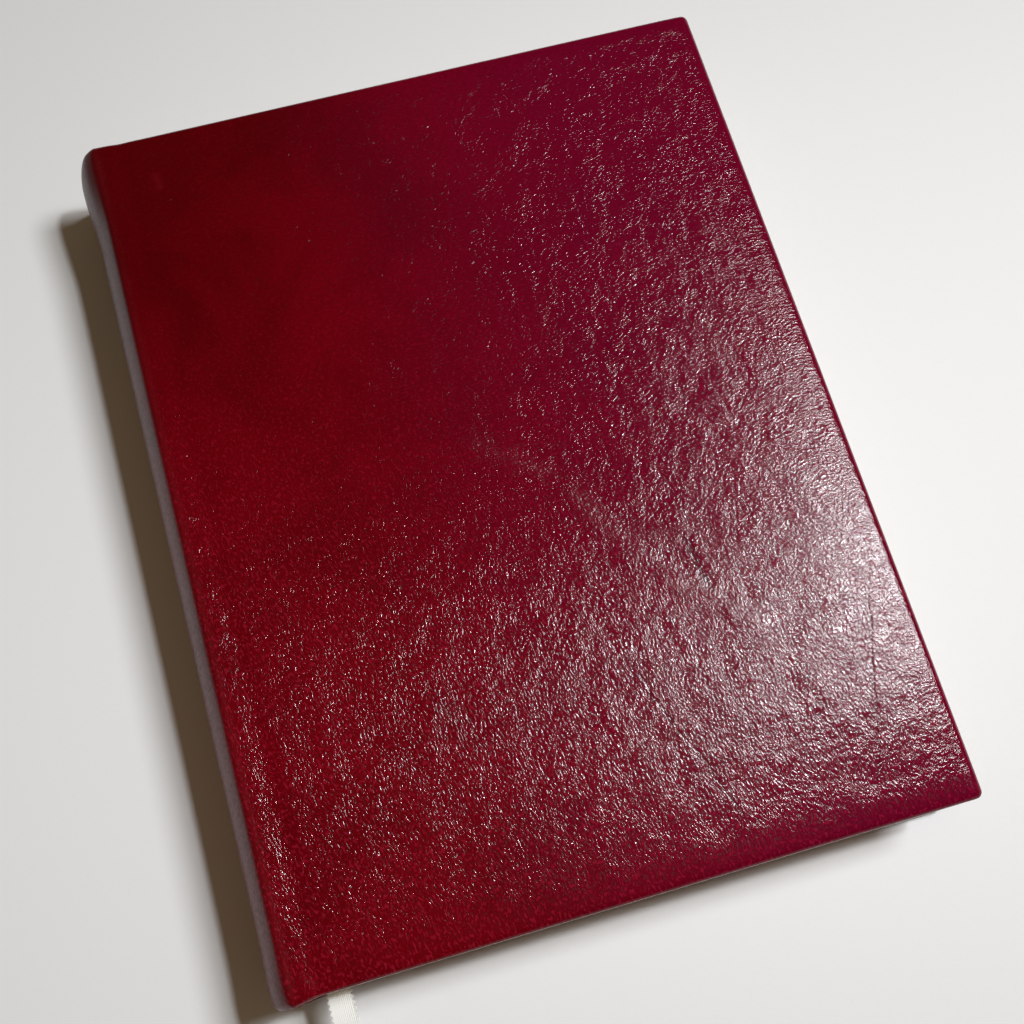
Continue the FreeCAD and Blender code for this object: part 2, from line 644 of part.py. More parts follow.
def make_ribbon():
    """A satin ribbon that lies between the pages and drops to the table past the tail."""
    width = number("Sizes.ribbon_width")
    thick = number("Sizes.ribbon_thick")
    half = number("Sizes.page_half")
    x = number("Sizes.ribbon_x")
    mid = number("Sizes.mid_thick")
    head = FreeCAD.Vector(x, half + number("Sizes.ribbon_stub"), mid)
    droop = FreeCAD.Vector(x, -half - number("Sizes.ribbon_lead"), mid)
    free = [FreeCAD.Vector(x, -half - out, height) for out, height in RIBBON_ROUTE]
    path = rounded_route([head, droop] + free)
    length_inside = head.y + half
    low, high = x - width / 2, x + width / 2
    rim = [(low, -thick / 2), (high, -thick / 2), (high, thick / 2), (low, thick / 2)]
    section = Part.makePolygon([FreeCAD.Vector(a, head.y, mid + b) for a, b in rim + rim[:1]])
    solid = path.makePipeShell([section], True, True)
    ribbon = doc.addObject("Part::Feature", "ribbon_marker")
    ribbon.Label = "ribbon_marker"
    ribbon.Shape = solid
    parts.append(ribbon)
    print(f"ribbon: {path.Length:.1f} mm, past the pages {path.Length - length_inside:.1f} mm, "
          f"volume over section times length {solid.Volume / (width * thick * path.Length):.4f}")


def check_parts():
    """Stops if any object failed or any part isn't a sound solid."""
    for thing in doc.Objects:
        if {"Invalid", "Error"} & set(thing.State):
            raise RuntimeError(f"{thing.Name} failed: {thing.State}")
    for part in parts:
        if part.Shape.isNull() or not part.Shape.isValid() or not part.Shape.Solids:
            raise RuntimeError(f"{part.Label} isn't a sound solid")


def write_parts():
    """One STEP file for each part, named for it."""
    os.makedirs("parts", exist_ok=True)
    for part in parts:
        part.Shape.exportStep(f"parts/{part.Label}.step")
        box = part.Shape.BoundBox
        print(f"{part.Label}: {len(part.Shape.Solids)} solid, {part.Shape.Volume:.1f} mm3, "
              f"x {box.XMin:.2f} {box.XMax:.2f}, y {box.YMin:.2f} {box.YMax:.2f}, "
              f"z {box.ZMin:.2f} {box.ZMax:.2f}")


def main():
    fill_sheet()
    make_text_block()
    make_sewing_thread()
    tape_places = [("tape_tail", -1), ("tape_middle", 0), ("tape_head", 1)]
    for label, row in tape_places:
        curved_layer(label, "Sizes.tape_outer", "Sizes.tape_inner", "Sizes.tape_angle",
                     "Sizes.tape_width", f"{row} * Sizes.tape_pitch")
    make_headband("headband", "1")
    make_headband("tailband", "-1")
    inner_length = "2 * (Sizes.page_half - Sizes.mull_inset)"
    curved_layer("mull", "Sizes.mull_outer", "Sizes.mull_inner", "Sizes.lining_angle",
                 inner_length)
    curved_layer("spine_lining", "Sizes.lining_outer", "Sizes.lining_inner",
                 "Sizes.lining_angle", inner_length)
    card_length = "Sizes.cover_height - 2 * (Sizes.leather_thick + Sizes.layer_gap)"
    curved_layer("spine_card", "Sizes.card_outer", "Sizes.card_inner",
                 "Sizes.card_angle", card_length)
    make_spine_leather()
    make_flyleaf("back_flyleaf", "Sizes.cover_thick + Sizes.cover_gap")
    make_flyleaf("front_flyleaf",
                 "Sizes.book_thick - Sizes.cover_thick - Sizes.cover_gap - Sizes.paper_thick")
    make_ribbon()
    make_cover("back")
    make_cover("front")
    doc.recompute()
    check_parts()
    write_parts()


main()
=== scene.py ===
"""Looks of a hand-bound journal in full crimson calf, closed and lying on its back cover.

Frame, in metres: +X from the spine to the fore-edge, +Y from the tail to the head, +Z up.
The skin of each cover is one sheet of leather from the middle of the spine to the fore-edge,
turned in round the board. Its texture runs in the sheet's own flat, developed measure, in which
a place on the cover has the cover's own X and Y.
"""

import math
import random

import bmesh
import bpy
import numpy as np
from bpy.props import FloatProperty, FloatVectorProperty, PointerProperty
from mathutils import Matrix, Vector, noise


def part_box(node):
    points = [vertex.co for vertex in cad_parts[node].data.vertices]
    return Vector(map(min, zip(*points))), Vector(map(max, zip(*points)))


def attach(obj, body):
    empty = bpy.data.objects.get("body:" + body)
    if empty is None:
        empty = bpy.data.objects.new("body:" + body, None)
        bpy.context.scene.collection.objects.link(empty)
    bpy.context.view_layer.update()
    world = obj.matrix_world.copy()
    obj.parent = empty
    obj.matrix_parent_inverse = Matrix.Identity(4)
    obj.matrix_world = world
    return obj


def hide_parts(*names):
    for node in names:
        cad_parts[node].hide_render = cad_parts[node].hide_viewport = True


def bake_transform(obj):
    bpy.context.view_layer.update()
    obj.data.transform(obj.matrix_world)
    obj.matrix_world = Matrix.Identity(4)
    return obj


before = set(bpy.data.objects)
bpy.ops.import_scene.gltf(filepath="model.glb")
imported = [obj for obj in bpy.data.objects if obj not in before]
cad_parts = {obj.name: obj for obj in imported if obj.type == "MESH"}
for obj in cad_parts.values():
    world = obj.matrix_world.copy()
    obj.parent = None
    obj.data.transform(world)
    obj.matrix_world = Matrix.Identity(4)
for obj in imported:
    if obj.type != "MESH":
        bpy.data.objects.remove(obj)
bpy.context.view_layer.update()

bl_info = {
    "name": "Leather Journal",
    "version": (1, 0, 0),
    "blender": (4, 5, 0),
    "location": "View3D > Sidebar > Journal",
    "description": "Builds the looks of a hand-bound leather journal around its packed model",
    "category": "Object",
}

MM = 0.001

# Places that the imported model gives.
COVER_LOW, COVER_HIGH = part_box("front_leather")
SPINE_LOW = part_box("spine_leather")[0]
PAGES_LOW, PAGES_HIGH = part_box("text_block")
PASTE_LOW, PASTE_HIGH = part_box("front_pastedown")
LEAF_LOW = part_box("front_flyleaf")[0]

THICK = COVER_HIGH.z
MID = THICK / 2
FORE_X = COVER_HIGH.x
JOINT_X = COVER_LOW.x
HALF_HEIGHT = COVER_HIGH.y
COVER_THICK = COVER_HIGH.z - COVER_LOW.z
PAGE_HALF = PAGES_HIGH.y

# The leather's line round the spine: flat over the joint, a firm turn, then a low curve.
SPINE_ROUND = 4.6 * MM
SHOULDER_X = SPINE_LOW.x + SPINE_ROUND
SPINE_RADIUS = (MID**2 + SPINE_ROUND**2) / (2 * SPINE_ROUND)
SPINE_CENTRE = SPINE_LOW.x + SPINE_RADIUS
CORNER_EASE = 0.65 * MM

# The leather: its own thickness, and how it goes round the edges of a board.
LEATHER_THICK = 0.9 * MM
TURN_IN_THICK = 0.6 * MM
TURN_IN_WIDTH = 15.0 * MM
CORNER_RADIUS = 1.6 * MM
EDGE_ROUND = 1.4 * MM
TURNED_ROUND = 0.5 * MM
SPINE_WALL = 1.55 * MM
RIM_START = 3.0 * MM

# Where the leather leaves the true outline: crowns at tail and head of each cover's spine, the
# full spine near its ends, the valley of the joint, and the share by which the back is shorter.
UPPER_CROWN = (0.9 * MM, 0.5 * MM)
LOWER_CROWN = (0.1 * MM, 0.2 * MM)
CAP_SETBACK = 0.9 * MM
HEAD_FULLNESS = 1.2 * MM
TAIL_FULLNESS = 0.3 * MM
VALLEY_DEPTH = 0.22 * MM
VALLEY_PINCH = 0.20 * MM
VALLEY_SHIFT = 0.8 * MM
VALLEY_WIDTH = 2.2 * MM
BACK_SHORT = 0.006

# The hand-pared leather's rise and fall, in mm: its height, and its length across and along.
PARING = [(0.07, 23, 31), (0.03, 7, 9)]

# Eased edges, in mm: how far the face sinks at the edge, and over what width.
TAIL_EASES = [(0.50, 6), (0.35, 30)]
HEAD_EASES = [(0.25, 5)]
FORE_EASES = [(0.30, 3.5), (0.45, 20)]
CAP_EASES = [(0.7, 4.5)]

# The ribbon, in mm from the pages' tail: how far out, and how high its middle is.
RIBBON_X = -66.0 * MM
RIBBON_ROUTE = [(0, 14.3), (5.5, 14.3), (15.5, 10.9), (23.5, 4.9), (31.0, 1.1),
                (40.0, 0.45), (48.5, 0.36)]

# The ribbon's weave: how far a picot stands out, half its length, half its thread, the border that
# it takes up and how deep it is rooted; the warp's ribs; and the slant of the cut end, with the
# length over which it comes.
PICOT_OUT = 0.42 * MM
PICOT_HALF = 0.26 * MM
PICOT_THREAD = 0.17 * MM
PICOT_BORDER = 0.55 * MM
PICOT_ROOT = 0.05 * MM
WARP_RIBS = 12
WARP_PITCH = 0.42 * MM
RIB_HEIGHT = 0.035 * MM
CUT_SLANT = 1.6 * MM
CUT_LENGTH = 6 * MM

# The sewn pages: their back is an arc, and its ends turn up into the shoulders.
FORE_HOLLOW = 3.5 * MM
BACK_RADIUS = 11.43 * MM
BACK_CENTRE = PAGES_LOW.x + BACK_RADIUS
SHOULDER_TURN = math.radians(62.1)
SHOULDER_RISE = 1.55 * MM
FAN_START = -58 * MM
SECTIONS = 14
LEAVES_IN_SECTION = 6
LEAF_GAP = 0.012 * MM
FOLD_SHORT = 0.05 * MM
CUT_SCATTER = 0.09 * MM

# The endpapers, in mm: half their thickness, where they leave a board's edge and meet the
# shoulder, and the place, the lean and the width of the fold that opens with a cover.
PAPER_HALF = 0.1
PAPER_BEND = 0.4
PAPER_OFF_BOARD = 0.12
EDGE_FOOT = 26.0
ON_JOINT = (-70.42, 27.45)
ON_SHOULDER = (-69.97, 23.9)

# The bound bands: their cord, its thread, how far round the back they reach and where they thin.
CORD_RADIUS = 0.95 * MM
CORD_INSET = 0.25 * MM
CORD_RISE = 0.35 * MM
WRAP_PITCH = 0.55 * MM
WRAP_BULGE = 0.14
BAND_REACH = math.radians(52)
BAND_TAPER = 0.06

# The stage: where its lamps and the table's edge are, and the room's light, as linear values,
# low and overhead in gloss and all round as a fill.
LAMP_DISTANCE = 2.0
FLOOR_REACH = 3.0
BACKDROP = "#ebebec"
DAYLIGHT = (0.955, 0.98, 1.0)
LOW_GLOSS = (0.3, 0.27, 0.25)
OVERHEAD_GLOSS = (0.025, 0.022, 0.02)
FILL = (0.13, 0.091, 0.052)

# Where the stretched leather of the spine gives way to the cover's grain.
STRETCHED_X = JOINT_X - 6 * MM
GRAINED_X = JOINT_X - 2.5 * MM

# How far up the cover the pebbles begin to lean towards the tail, and how much.
LEAN_START = 45 * MM
LEAN = -2850

# Darker patches, in mm on the cover: middle, half width, half height. The first four are where the
# dye took more deeply. The last three darken the head end by the spine, partly a deeper dye and
# partly painted shade where the light falls off towards that corner.
DYE_AND_SHADE_PATCHES = [((-25, 96), 34, 22), ((-8, 70), 30, 24), ((14, 48), 30, 26), ((38, 18), 34, 26),
                ((-75, 105), 95, 100), ((-80, 110), 80, 110), ((-78, 100), 60, 120)]

# Where hands have smoothed the grain, in the same way.
HANDLED = ((-10, -125), 110, 95)

# Marks in the skin, as places on the cover in mm: a broad vein, a rub, a scar and fine creases,
# each of the last with its width and how dark it is.
VEIN = [(-9, 8), (11.4, -9.9), (25, -36), (48, -57)]
RUB = ((-62, 94), (-61.4, 88))
CUTS = [((34.4, -29), (37, -45.5), 1.5, 0.55), ((13.5, -54), (21, -77), 0.7, 0.45),
        ((21, -75), (28.5, -96), 0.7, 0.45), ((73.7, -46), (57.9, -98), 0.5, 0.45)]


# ---------------------------------------------------------------- small helpers


def linear(code):
    """Linear colour of an sRGB hex code."""
    channels = [int(code[i:i + 2], 16) / 255 for i in (1, 3, 5)]
    return [c / 12.92 if c <= 0.04045 else ((c + 0.055) / 1.055) ** 2.4 for c in channels]


def shade(colour):
    """A colour as a socket takes it, from a hex code or from linear values."""
    return (*(linear(colour) if isinstance(colour, str) else colour), 1.0)


def smooth(value, low, high):
    """0 below low, 1 above high, and a smooth rise between."""
    x = np.clip((np.asarray(value, float) - low) / (high - low), 0, 1)
    return x * x * (3 - 2 * x)


def mesh_piece(name, points, faces, body=None):
    """A smooth-shaded mesh object, riding on a body if one is given."""
    mesh = bpy.data.meshes.new(name)
    mesh.from_pydata([tuple(p) for p in points], [], [tuple(f) for f in faces])
    mesh.validate()
    mesh.shade_smooth()
    piece = bpy.data.objects.new(name, mesh)
    bpy.context.scene.collection.objects.link(piece)
    if body:
        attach(piece, body)
    return piece


def grid_faces(rows, columns, first=0, closed=False):
    """Quads between rows of points, each row closed into a ring if asked."""
    faces = []
    for i in range(rows - 1):
        for j in range(columns if closed else columns - 1):
            k = (j + 1) % columns
            a, b = first + i * columns, first + (i + 1) * columns
            faces.append((a + j, a + k, b + k, b + j))
    return faces


def strip_ends(starts, size):
    """Quads that close flat strips: each ring runs out along one side and back along the other."""
    return [(start + j, start + j + 1, start + size - 2 - j, start + size - 1 - j)
            for start in starts for j in range(size // 2 - 1)]


def sideways(line):
    """Unit normals on the left of a line in (x, z)."""
    along = np.gradient(line, axis=0)
    across = np.stack([-along[:, 1], along[:, 0]], 1)
    return across / np.linalg.norm(across, axis=1)[:, None]


def lengths_along(line):
    """The length of a line of points, from its first to each of them."""
    return np.concatenate([[0], np.cumsum(np.linalg.norm(np.diff(line, axis=0), axis=1))])


def tidy_mesh(piece, merge, thin, sharp_angle, fill=False):
    """Merges points that fall together, drops faces thinner than thin, closes what is left open
    if asked, turns every face outwards and marks the sharp edges."""
    bm = bmesh.new()
    bm.from_mesh(piece.data)
    bmesh.ops.remove_doubles(bm, verts=bm.verts, dist=merge)
    bmesh.ops.dissolve_degenerate(bm, dist=thin, edges=bm.edges)
    if fill:
        open_edges = [edge for edge in bm.edges if edge.is_boundary]
        bmesh.ops.holes_fill(bm, edges=open_edges, sides=0)
    bmesh.ops.recalc_face_normals(bm, faces=bm.faces)
    bm.to_mesh(piece.data)
    bm.free()
    piece.data.shade_smooth()
    piece.data.set_sharp_from_angle(angle=math.radians(sharp_angle))


def set_material(piece, material):
    """The piece wears this material and no other."""
    piece.data.materials.clear()
    piece.data.materials.append(material)


def feed(tree, node, inputs):
    """Gives a node its inputs: a value, another node's output, or a node for its first output."""
    for name, value in inputs.items():
        if isinstance(value, bpy.types.Node):
            value = value.outputs[0]
        if isinstance(value, bpy.types.NodeSocket):
            tree.links.new(value, node.inputs[name])
        else:
            node.inputs[name].default_value = value


def add_node(tree, kind, settings=None, inputs=None):
    """Adds a shader node with its settings and links."""
    node = tree.nodes.new("ShaderNode" + kind)
    for name, value in (settings or {}).items():
        setattr(node, name, value)
    feed(tree, node, inputs or {})
    return node


def new_material(name):
    """A material with its tree and its shader."""
    material = bpy.data.materials.new(name)
    material.use_nodes = True
    tree = material.node_tree
    return material, tree, tree.nodes["Principled BSDF"]


# ---------------------------------------------------------------- settings


class JournalLeather(bpy.types.PropertyGroup):
    dye: FloatVectorProperty(
        name="Dye", description="Crimson of the open cover", subtype="COLOR",
        default=linear("#69000a"), min=0, max=1)
    # The deeper dye. It also paints shade at the head end by the spine and in the grain's creases.
    dark_dye_and_shade: FloatVectorProperty(
        name="Dark dye", description="Where the dye took more deeply", subtype="COLOR",
        default=linear("#4e0004"), min=0, max=1)
    # Partly the dye's own tone, partly a painted tint of the bluish sheen at the fore-edge.
    wine_dye_and_sheen_tint: FloatVectorProperty(
        name="Wine dye", description="Cooler tone towards the fore-edge", subtype="COLOR",
        default=linear("#660227"), min=0, max=1)
    grain: FloatProperty(
        name="Grain", description="Width of one pebble of the grain", unit="LENGTH",
        default=0.5 * MM, min=0.3 * MM, max=4 * MM)
    relief: FloatProperty(
        name="Relief", description="Height of the grain", unit="LENGTH",
        default=0.118 * MM, min=0, max=0.5 * MM)
    roughness: FloatProperty(
        name="Roughness", description="Of the polished grain side", subtype="FACTOR",
        default=0.08, min=0.05, max=1)


class JournalPaper(bpy.types.PropertyGroup):
    pages: FloatVectorProperty(
        name="Pages", description="Cream writing paper", subtype="COLOR",
        default=linear("#e9e2cf"), min=0, max=1)
    endpaper: FloatVectorProperty(
        name="Endpapers", description="Plain ivory endpaper", subtype="COLOR",
        default=linear("#e4dcc6"), min=0, max=1)


class JournalRibbon(bpy.types.PropertyGroup):
    colour: FloatVectorProperty(
        name="Colour", description="Ivory satin", subtype="COLOR",
        default=linear("#fdfdf8"), min=0, max=1)
    width: FloatProperty(
        name="Width", description="Over its picots", unit="LENGTH", default=6.0 * MM)
    thick: FloatProperty(
        name="Thickness", description="Of the woven band", unit="LENGTH", default=0.3 * MM)
    picot: FloatProperty(
        name="Picot pitch", description="From one edge loop to the next", unit="LENGTH",
        default=1.25 * MM)


class JournalStage(bpy.types.PropertyGroup):
    floor: FloatVectorProperty(
        name="Floor", description="White paper table", subtype="COLOR",
        default=linear("#f1f1f2"), min=0, max=1)
    eye: FloatVectorProperty(
        name="Camera", description="Where the camera stands", subtype="XYZ", unit="LENGTH",
        default=(-40.0 * MM, -112.15 * MM, 346.6 * MM))
    target: FloatVectorProperty(
        name="Target", description="What the camera looks at", subtype="XYZ", unit="LENGTH",
        default=(-1.5 * MM, -14.4 * MM, 28.6 * MM))
    roll: FloatProperty(
        name="Roll", description="Turn of the camera about its own line of sight",
        subtype="ANGLE", default=math.radians(16.89))
    lens: FloatProperty(
        name="Lens", description="Focal length on a 36 mm sensor", unit="CAMERA", default=51.4)
    key: FloatProperty(
        name="Key", description="Power of the small key light", unit="POWER", default=13.0)
    window: FloatProperty(
        name="Window", description="Power of the large soft light", unit="POWER", default=27.4)


# ---------------------------------------------------------------- the leather skins


def outside_line():
    """The closed book's outline from the middle of the spine to the fore-edge.

    Gives the distance along it, its points (x, z) and its outward normals, for the front half.
    The corner between the spine's arc and the flat board is eased, as pasted leather eases it.
    """
    step, ease, spare = 0.05 * MM, CORNER_EASE, 4 * MM
    half_turn = math.asin(MID / SPINE_RADIUS)
    angles = np.arange(-spare / SPINE_RADIUS, half_turn, step / SPINE_RADIUS)
    arc = np.stack([SPINE_CENTRE - SPINE_RADIUS * np.cos(angles),
                    MID + SPINE_RADIUS * np.sin(angles)], 1)
    flat_x = np.arange(arc[-1, 0] + step, FORE_X + spare, step)
    flat = np.stack([flat_x, np.full(len(flat_x), THICK)], 1)
    line = np.concatenate([arc, flat])
    reach = int(3 * ease / step)
    kernel = np.exp(-0.5 * (np.arange(-reach, reach + 1) * step / ease) ** 2)
    kernel /= kernel.sum()
    line = np.stack([np.convolve(line[:, k], kernel, "valid") for k in (0, 1)], 1)
    length = lengths_along(line)
    length -= np.interp(MID, line[:, 1], length)
    return length, line, sideways(line)


LINE_LENGTH, LINE, LINE_NORMAL = outside_line()
FLAT_LENGTH = float(np.interp(FORE_X, LINE[:, 0], LINE_LENGTH))
JOINT_LENGTH = float(np.interp(JOINT_X, LINE[:, 0], LINE_LENGTH))
SHOULDER_LENGTH = float(np.interp(SHOULDER_X + 0.2 * MM, LINE[:, 0], LINE_LENGTH))
BOARD_LENGTH = float(np.interp(PASTE_LOW.x, LINE[:, 0], LINE_LENGTH))


def skin_depth(s, inset):
    """Thickness of the turned edge: thin on the spine, full on the board and at the joint's ends."""
    turned = smooth(s, SHOULDER_LENGTH - 3 * MM, SHOULDER_LENGTH) * (inset < 3 * MM)
    boarded = smooth(s, BOARD_LENGTH - 0.3 * MM, BOARD_LENGTH + 0.7 * MM)
    return SPINE_WALL + (COVER_THICK - SPINE_WALL) * np.maximum(turned, boarded)


def cap_crown(s, upper):
    """How far the leather caps stand past the ends, by place round the spine: tail, head."""
    window = 1 - smooth(s, SHOULDER_LENGTH, JOINT_LENGTH + 1 * MM)
    drawn_back = 1 - smooth(s, 0, 11 * MM)
    tail, head = UPPER_CROWN if upper else LOWER_CROWN
    crown = window - drawn_back
    return tail * crown, head * crown - CAP_SETBACK * drawn_back


def fullness(s, t):
    """How far the spine stands out over its layers near the head and a little at the tail."""
    window = 1 - smooth(s, SHOULDER_LENGTH - 4 * MM, SHOULDER_LENGTH + 1.5 * MM)
    head = HEAD_FULLNESS * smooth(t, 80 * MM, 100 * MM)
    tail = TAIL_FULLNESS * smooth(-t, 90 * MM, 102 * MM)
    return window * (head + tail)


def joint_dip(s, t):
    """The shallow valley in which the cover bends, pinched in at both ends."""
    ends = smooth(-t, HALF_HEIGHT - 9 * MM, HALF_HEIGHT)
    valley = np.exp(-((s - JOINT_LENGTH - VALLEY_SHIFT) / VALLEY_WIDTH) ** 2)
    return (VALLEY_DEPTH + VALLEY_PINCH * ends) * valley


def eased(inset, eases):
    """How far a face sinks at an inset from its edge."""
    return sum(depth * MM * np.clip(1 - inset / (width * MM), 0, 1) ** 2
               for depth, width in eases)


def edge_fall(s, t):
    """How far the face of a cover sinks towards its edges, where the board was eased."""
    tail = eased(HALF_HEIGHT + t, TAIL_EASES)
    head = eased(HALF_HEIGHT - t, HEAD_EASES)
    fore = eased(FLAT_LENGTH - s, FORE_EASES)
    cap = eased(HALF_HEIGHT - np.abs(t), CAP_EASES)
    on_board = smooth(s, JOINT_LENGTH - 2 * MM, JOINT_LENGTH + 8 * MM)
    on_spine = 1 - smooth(s, SHOULDER_LENGTH - 1 * MM, JOINT_LENGTH)
    return np.hypot(on_board * (tail + head), fore) + on_spine * cap


def unevenness(s, t, seed):
    """The hand-pared leather's slow rise and fall, a broad one and a finer one."""
    return np.array([
        sum(height * MM * noise.noise((a / (across * MM), b / (along * MM), seed + 5 * k))
            for k, (height, across, along) in enumerate(PARING))
        for a, b in zip(s, t)])


def place_skin(s, t, depth, upper):
    """Points in space for places in the developed skin, at a depth below its outside."""
    s, t, depth = (np.asarray(v, float) for v in (s, t, depth))
    x = np.interp(s, LINE_LENGTH, LINE[:, 0])
    z = np.interp(s, LINE_LENGTH, LINE[:, 1])
    nx = np.interp(s, LINE_LENGTH, LINE_NORMAL[:, 0])
    nz = np.interp(s, LINE_LENGTH, LINE_NORMAL[:, 1])
    size = np.hypot(nx, nz)
    seed, side = (0.5, 1) if upper else (7.5, -1)
    surface = unevenness(s, side * t, seed) * smooth(s, 0, 12 * MM)
    surface -= joint_dip(s, t) + edge_fall(s, t)
    lift = fullness(s, t) + surface * smooth(depth, 3 * MM, 0)
    near_edge = smooth(HALF_HEIGHT - np.abs(t), 6 * MM, 0)
    tail, head = cap_crown(s, upper)
    y = t + near_edge * np.where(t < 0, -tail, head)
    if not upper:
        y = y * (1 - BACK_SHORT * smooth(s, JOINT_LENGTH - 8 * MM, JOINT_LENGTH + 10 * MM))
    x = x + nx / size * (lift - depth)
    z = z + nz / size * (lift - depth)
    return np.stack([x, y, z if upper else np.maximum(THICK - z, 0)], -1)


def stations(breaks):
    """Places from the first break to the last, at each stretch's own step."""
    places = [breaks[0][0]]
    for (start, step), (end, _) in zip(breaks, breaks[1:]):
        count = max(1, round((end - start) / step))
        places += list(np.linspace(start, end, count + 1)[1:])
    return np.array(places)


def rim_path(columns, rows):
    """The way round the skin's free edges, as a function of the inset from them.

    Tail edge, rounded corner, fore-edge, rounded corner, head edge.
    """
    turns = np.radians(np.linspace(0, 90, 7))
    s_end, t_end = FLAT_LENGTH, HALF_HEIGHT

    def corner(inset, up):
        bend = max(CORNER_RADIUS - inset, 0)
        back = max(CORNER_RADIUS, inset)
        s = s_end - back + bend * np.sin(turns)
        t = t_end - back + bend * np.cos(turns)
        return np.stack([s, t if up else -t], 1)

    def places(inset):
        limit = t_end - inset
        across = np.minimum(columns, s_end - inset)
        tail = np.stack([across, np.full(len(columns), -limit)], 1)
        fore = np.stack([np.full(len(rows), s_end - inset), np.clip(rows, -limit, limit)], 1)
        head = np.stack([across, np.full(len(columns), limit)], 1)
        return np.concatenate(
            [tail, corner(inset, False), fore, corner(inset, True)[::-1], head[::-1]])

    outward = np.concatenate([
        np.tile([0, -1], (len(columns), 1)),
        np.stack([np.sin(turns), -np.cos(turns)], 1),
        np.tile([1, 0], (len(rows), 1)),
        np.stack([np.sin(turns), np.cos(turns)], 1)[::-1],
        np.tile([0, 1], (len(columns), 1)),
    ])
    return places, outward


def rim_stages():
    """Inset and depth of each line of the turned edge; a depth is a share of the wall plus a part."""
    stages = [(RIM_START, 0, 0), (2.1 * MM, 0, 0)]
    for angle in np.radians(np.linspace(0, 90, 9)):
        stages.append((EDGE_ROUND * (1 - math.sin(angle)), 0, EDGE_ROUND * (1 - math.cos(angle))))
    for angle in np.radians(np.linspace(0, 90, 5)):
        stages.append((TURNED_ROUND * (1 - math.cos(angle)), 1,
                       TURNED_ROUND * (math.sin(angle) - 1)))
    stages += [(2.5 * MM, 1, 0), (8 * MM, 1, 0), (TURN_IN_WIDTH, 1, 0)]
    flesh = -TURN_IN_THICK
    stages += [(TURN_IN_WIDTH, 1, flesh), (LEATHER_THICK, 1, flesh),
               (LEATHER_THICK, 0, LEATHER_THICK), (RIM_START, 0, LEATHER_THICK)]
    return stages


def make_skin(name, upper):
    """One cover's leather: its face, its turned edges and its flesh side, as a closed solid."""
    columns = stations([(0, 0.03 * MM), (0.03 * MM, 0.8 * MM),
                        (SHOULDER_LENGTH - 3 * MM, 0.35 * MM),
                        (SHOULDER_LENGTH + 3 * MM, 0.8 * MM), (30 * MM, 1.3 * MM),
                        (FLAT_LENGTH - RIM_START, 1)])
    reach = HALF_HEIGHT - RIM_START
    rows = stations([(-reach, 1.3 * MM), (reach, 1)])
    t_grid, s_grid = np.meshgrid(rows, columns)
    s_face, t_face = s_grid.ravel(), t_grid.ravel()
    count = len(s_face)
    blocks = [place_skin(s_face, t_face, np.zeros(count), upper),
              place_skin(s_face, t_face, np.full(count, LEATHER_THICK), upper)]
    flat_face = np.stack([s_face, t_face], 1)
    developed = [flat_face, flat_face]
    faces = grid_faces(len(columns), len(rows))
    faces += grid_faces(len(columns), len(rows), first=count)
    faces += [(j, j + 1, count + j + 1, count + j) for j in range(len(rows) - 1)]

    places, outward = rim_path(columns, rows)
    start = places(RIM_START)
    travelled, last = 0.0, (RIM_START, 0.0)
    for inset, share, part in rim_stages():
        at = places(inset)
        depth = share * skin_depth(at[:, 0], inset) + part
        blocks.append(place_skin(at[:, 0], at[:, 1], depth, upper))
        here = (inset, share * COVER_THICK + part)
        travelled += math.dist(here, last)
        last = here
        developed.append(start + outward * travelled)
    faces += grid_faces(len(rim_stages()), len(outward), first=2 * count)

    piece = mesh_piece(name, np.concatenate(blocks), faces)
    at = np.concatenate(developed)
    at[:, 0] += FORE_X - FLAT_LENGTH
    corner_points = np.empty(len(piece.data.loops), np.int32)
    piece.data.loops.foreach_get("vertex_index", corner_points)
    layer = piece.data.uv_layers.new(name="developed")
    layer.uv.foreach_set("vector", at[corner_points].astype(np.float32).ravel())

    tidy_mesh(piece, 1e-7, 1e-8, 50, fill=True)

    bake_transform(piece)
    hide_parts("front_leather" if upper else "back_leather", "spine_leather")
    return piece


# ---------------------------------------------------------------- pages, endpapers and bands


def leaf_line(v, stops):
    """The line of one leaf in (x, z), fore-edge to spine; v runs from -1 below to 1 above.

    The leaves lie flat, then fan out to the rounded back. The outer ones turn late and sharply
    into the shoulders.
    """
    flat = MID + v * (LEAF_LOW.z - MID)
    front = PAGES_HIGH.x - FORE_HOLLOW * (1 - v * v)
    turn = v * SHOULDER_TURN
    radius = BACK_RADIUS + SHOULDER_RISE * smooth(abs(turn), 0.8 * SHOULDER_TURN, SHOULDER_TURN)
    back = BACK_CENTRE - radius * math.cos(turn)
    height = MID + radius * math.sin(turn)
    fan = FAN_START + (back - FAN_START) * stops
    x = np.concatenate([np.linspace(front, FAN_START, 5)[:-1], fan])
    late = 2 + 58 * abs(v) ** 12
    rise = (height - flat) * stops ** late
    return np.stack([x, np.concatenate([np.full(4, flat), flat + rise])], 1)


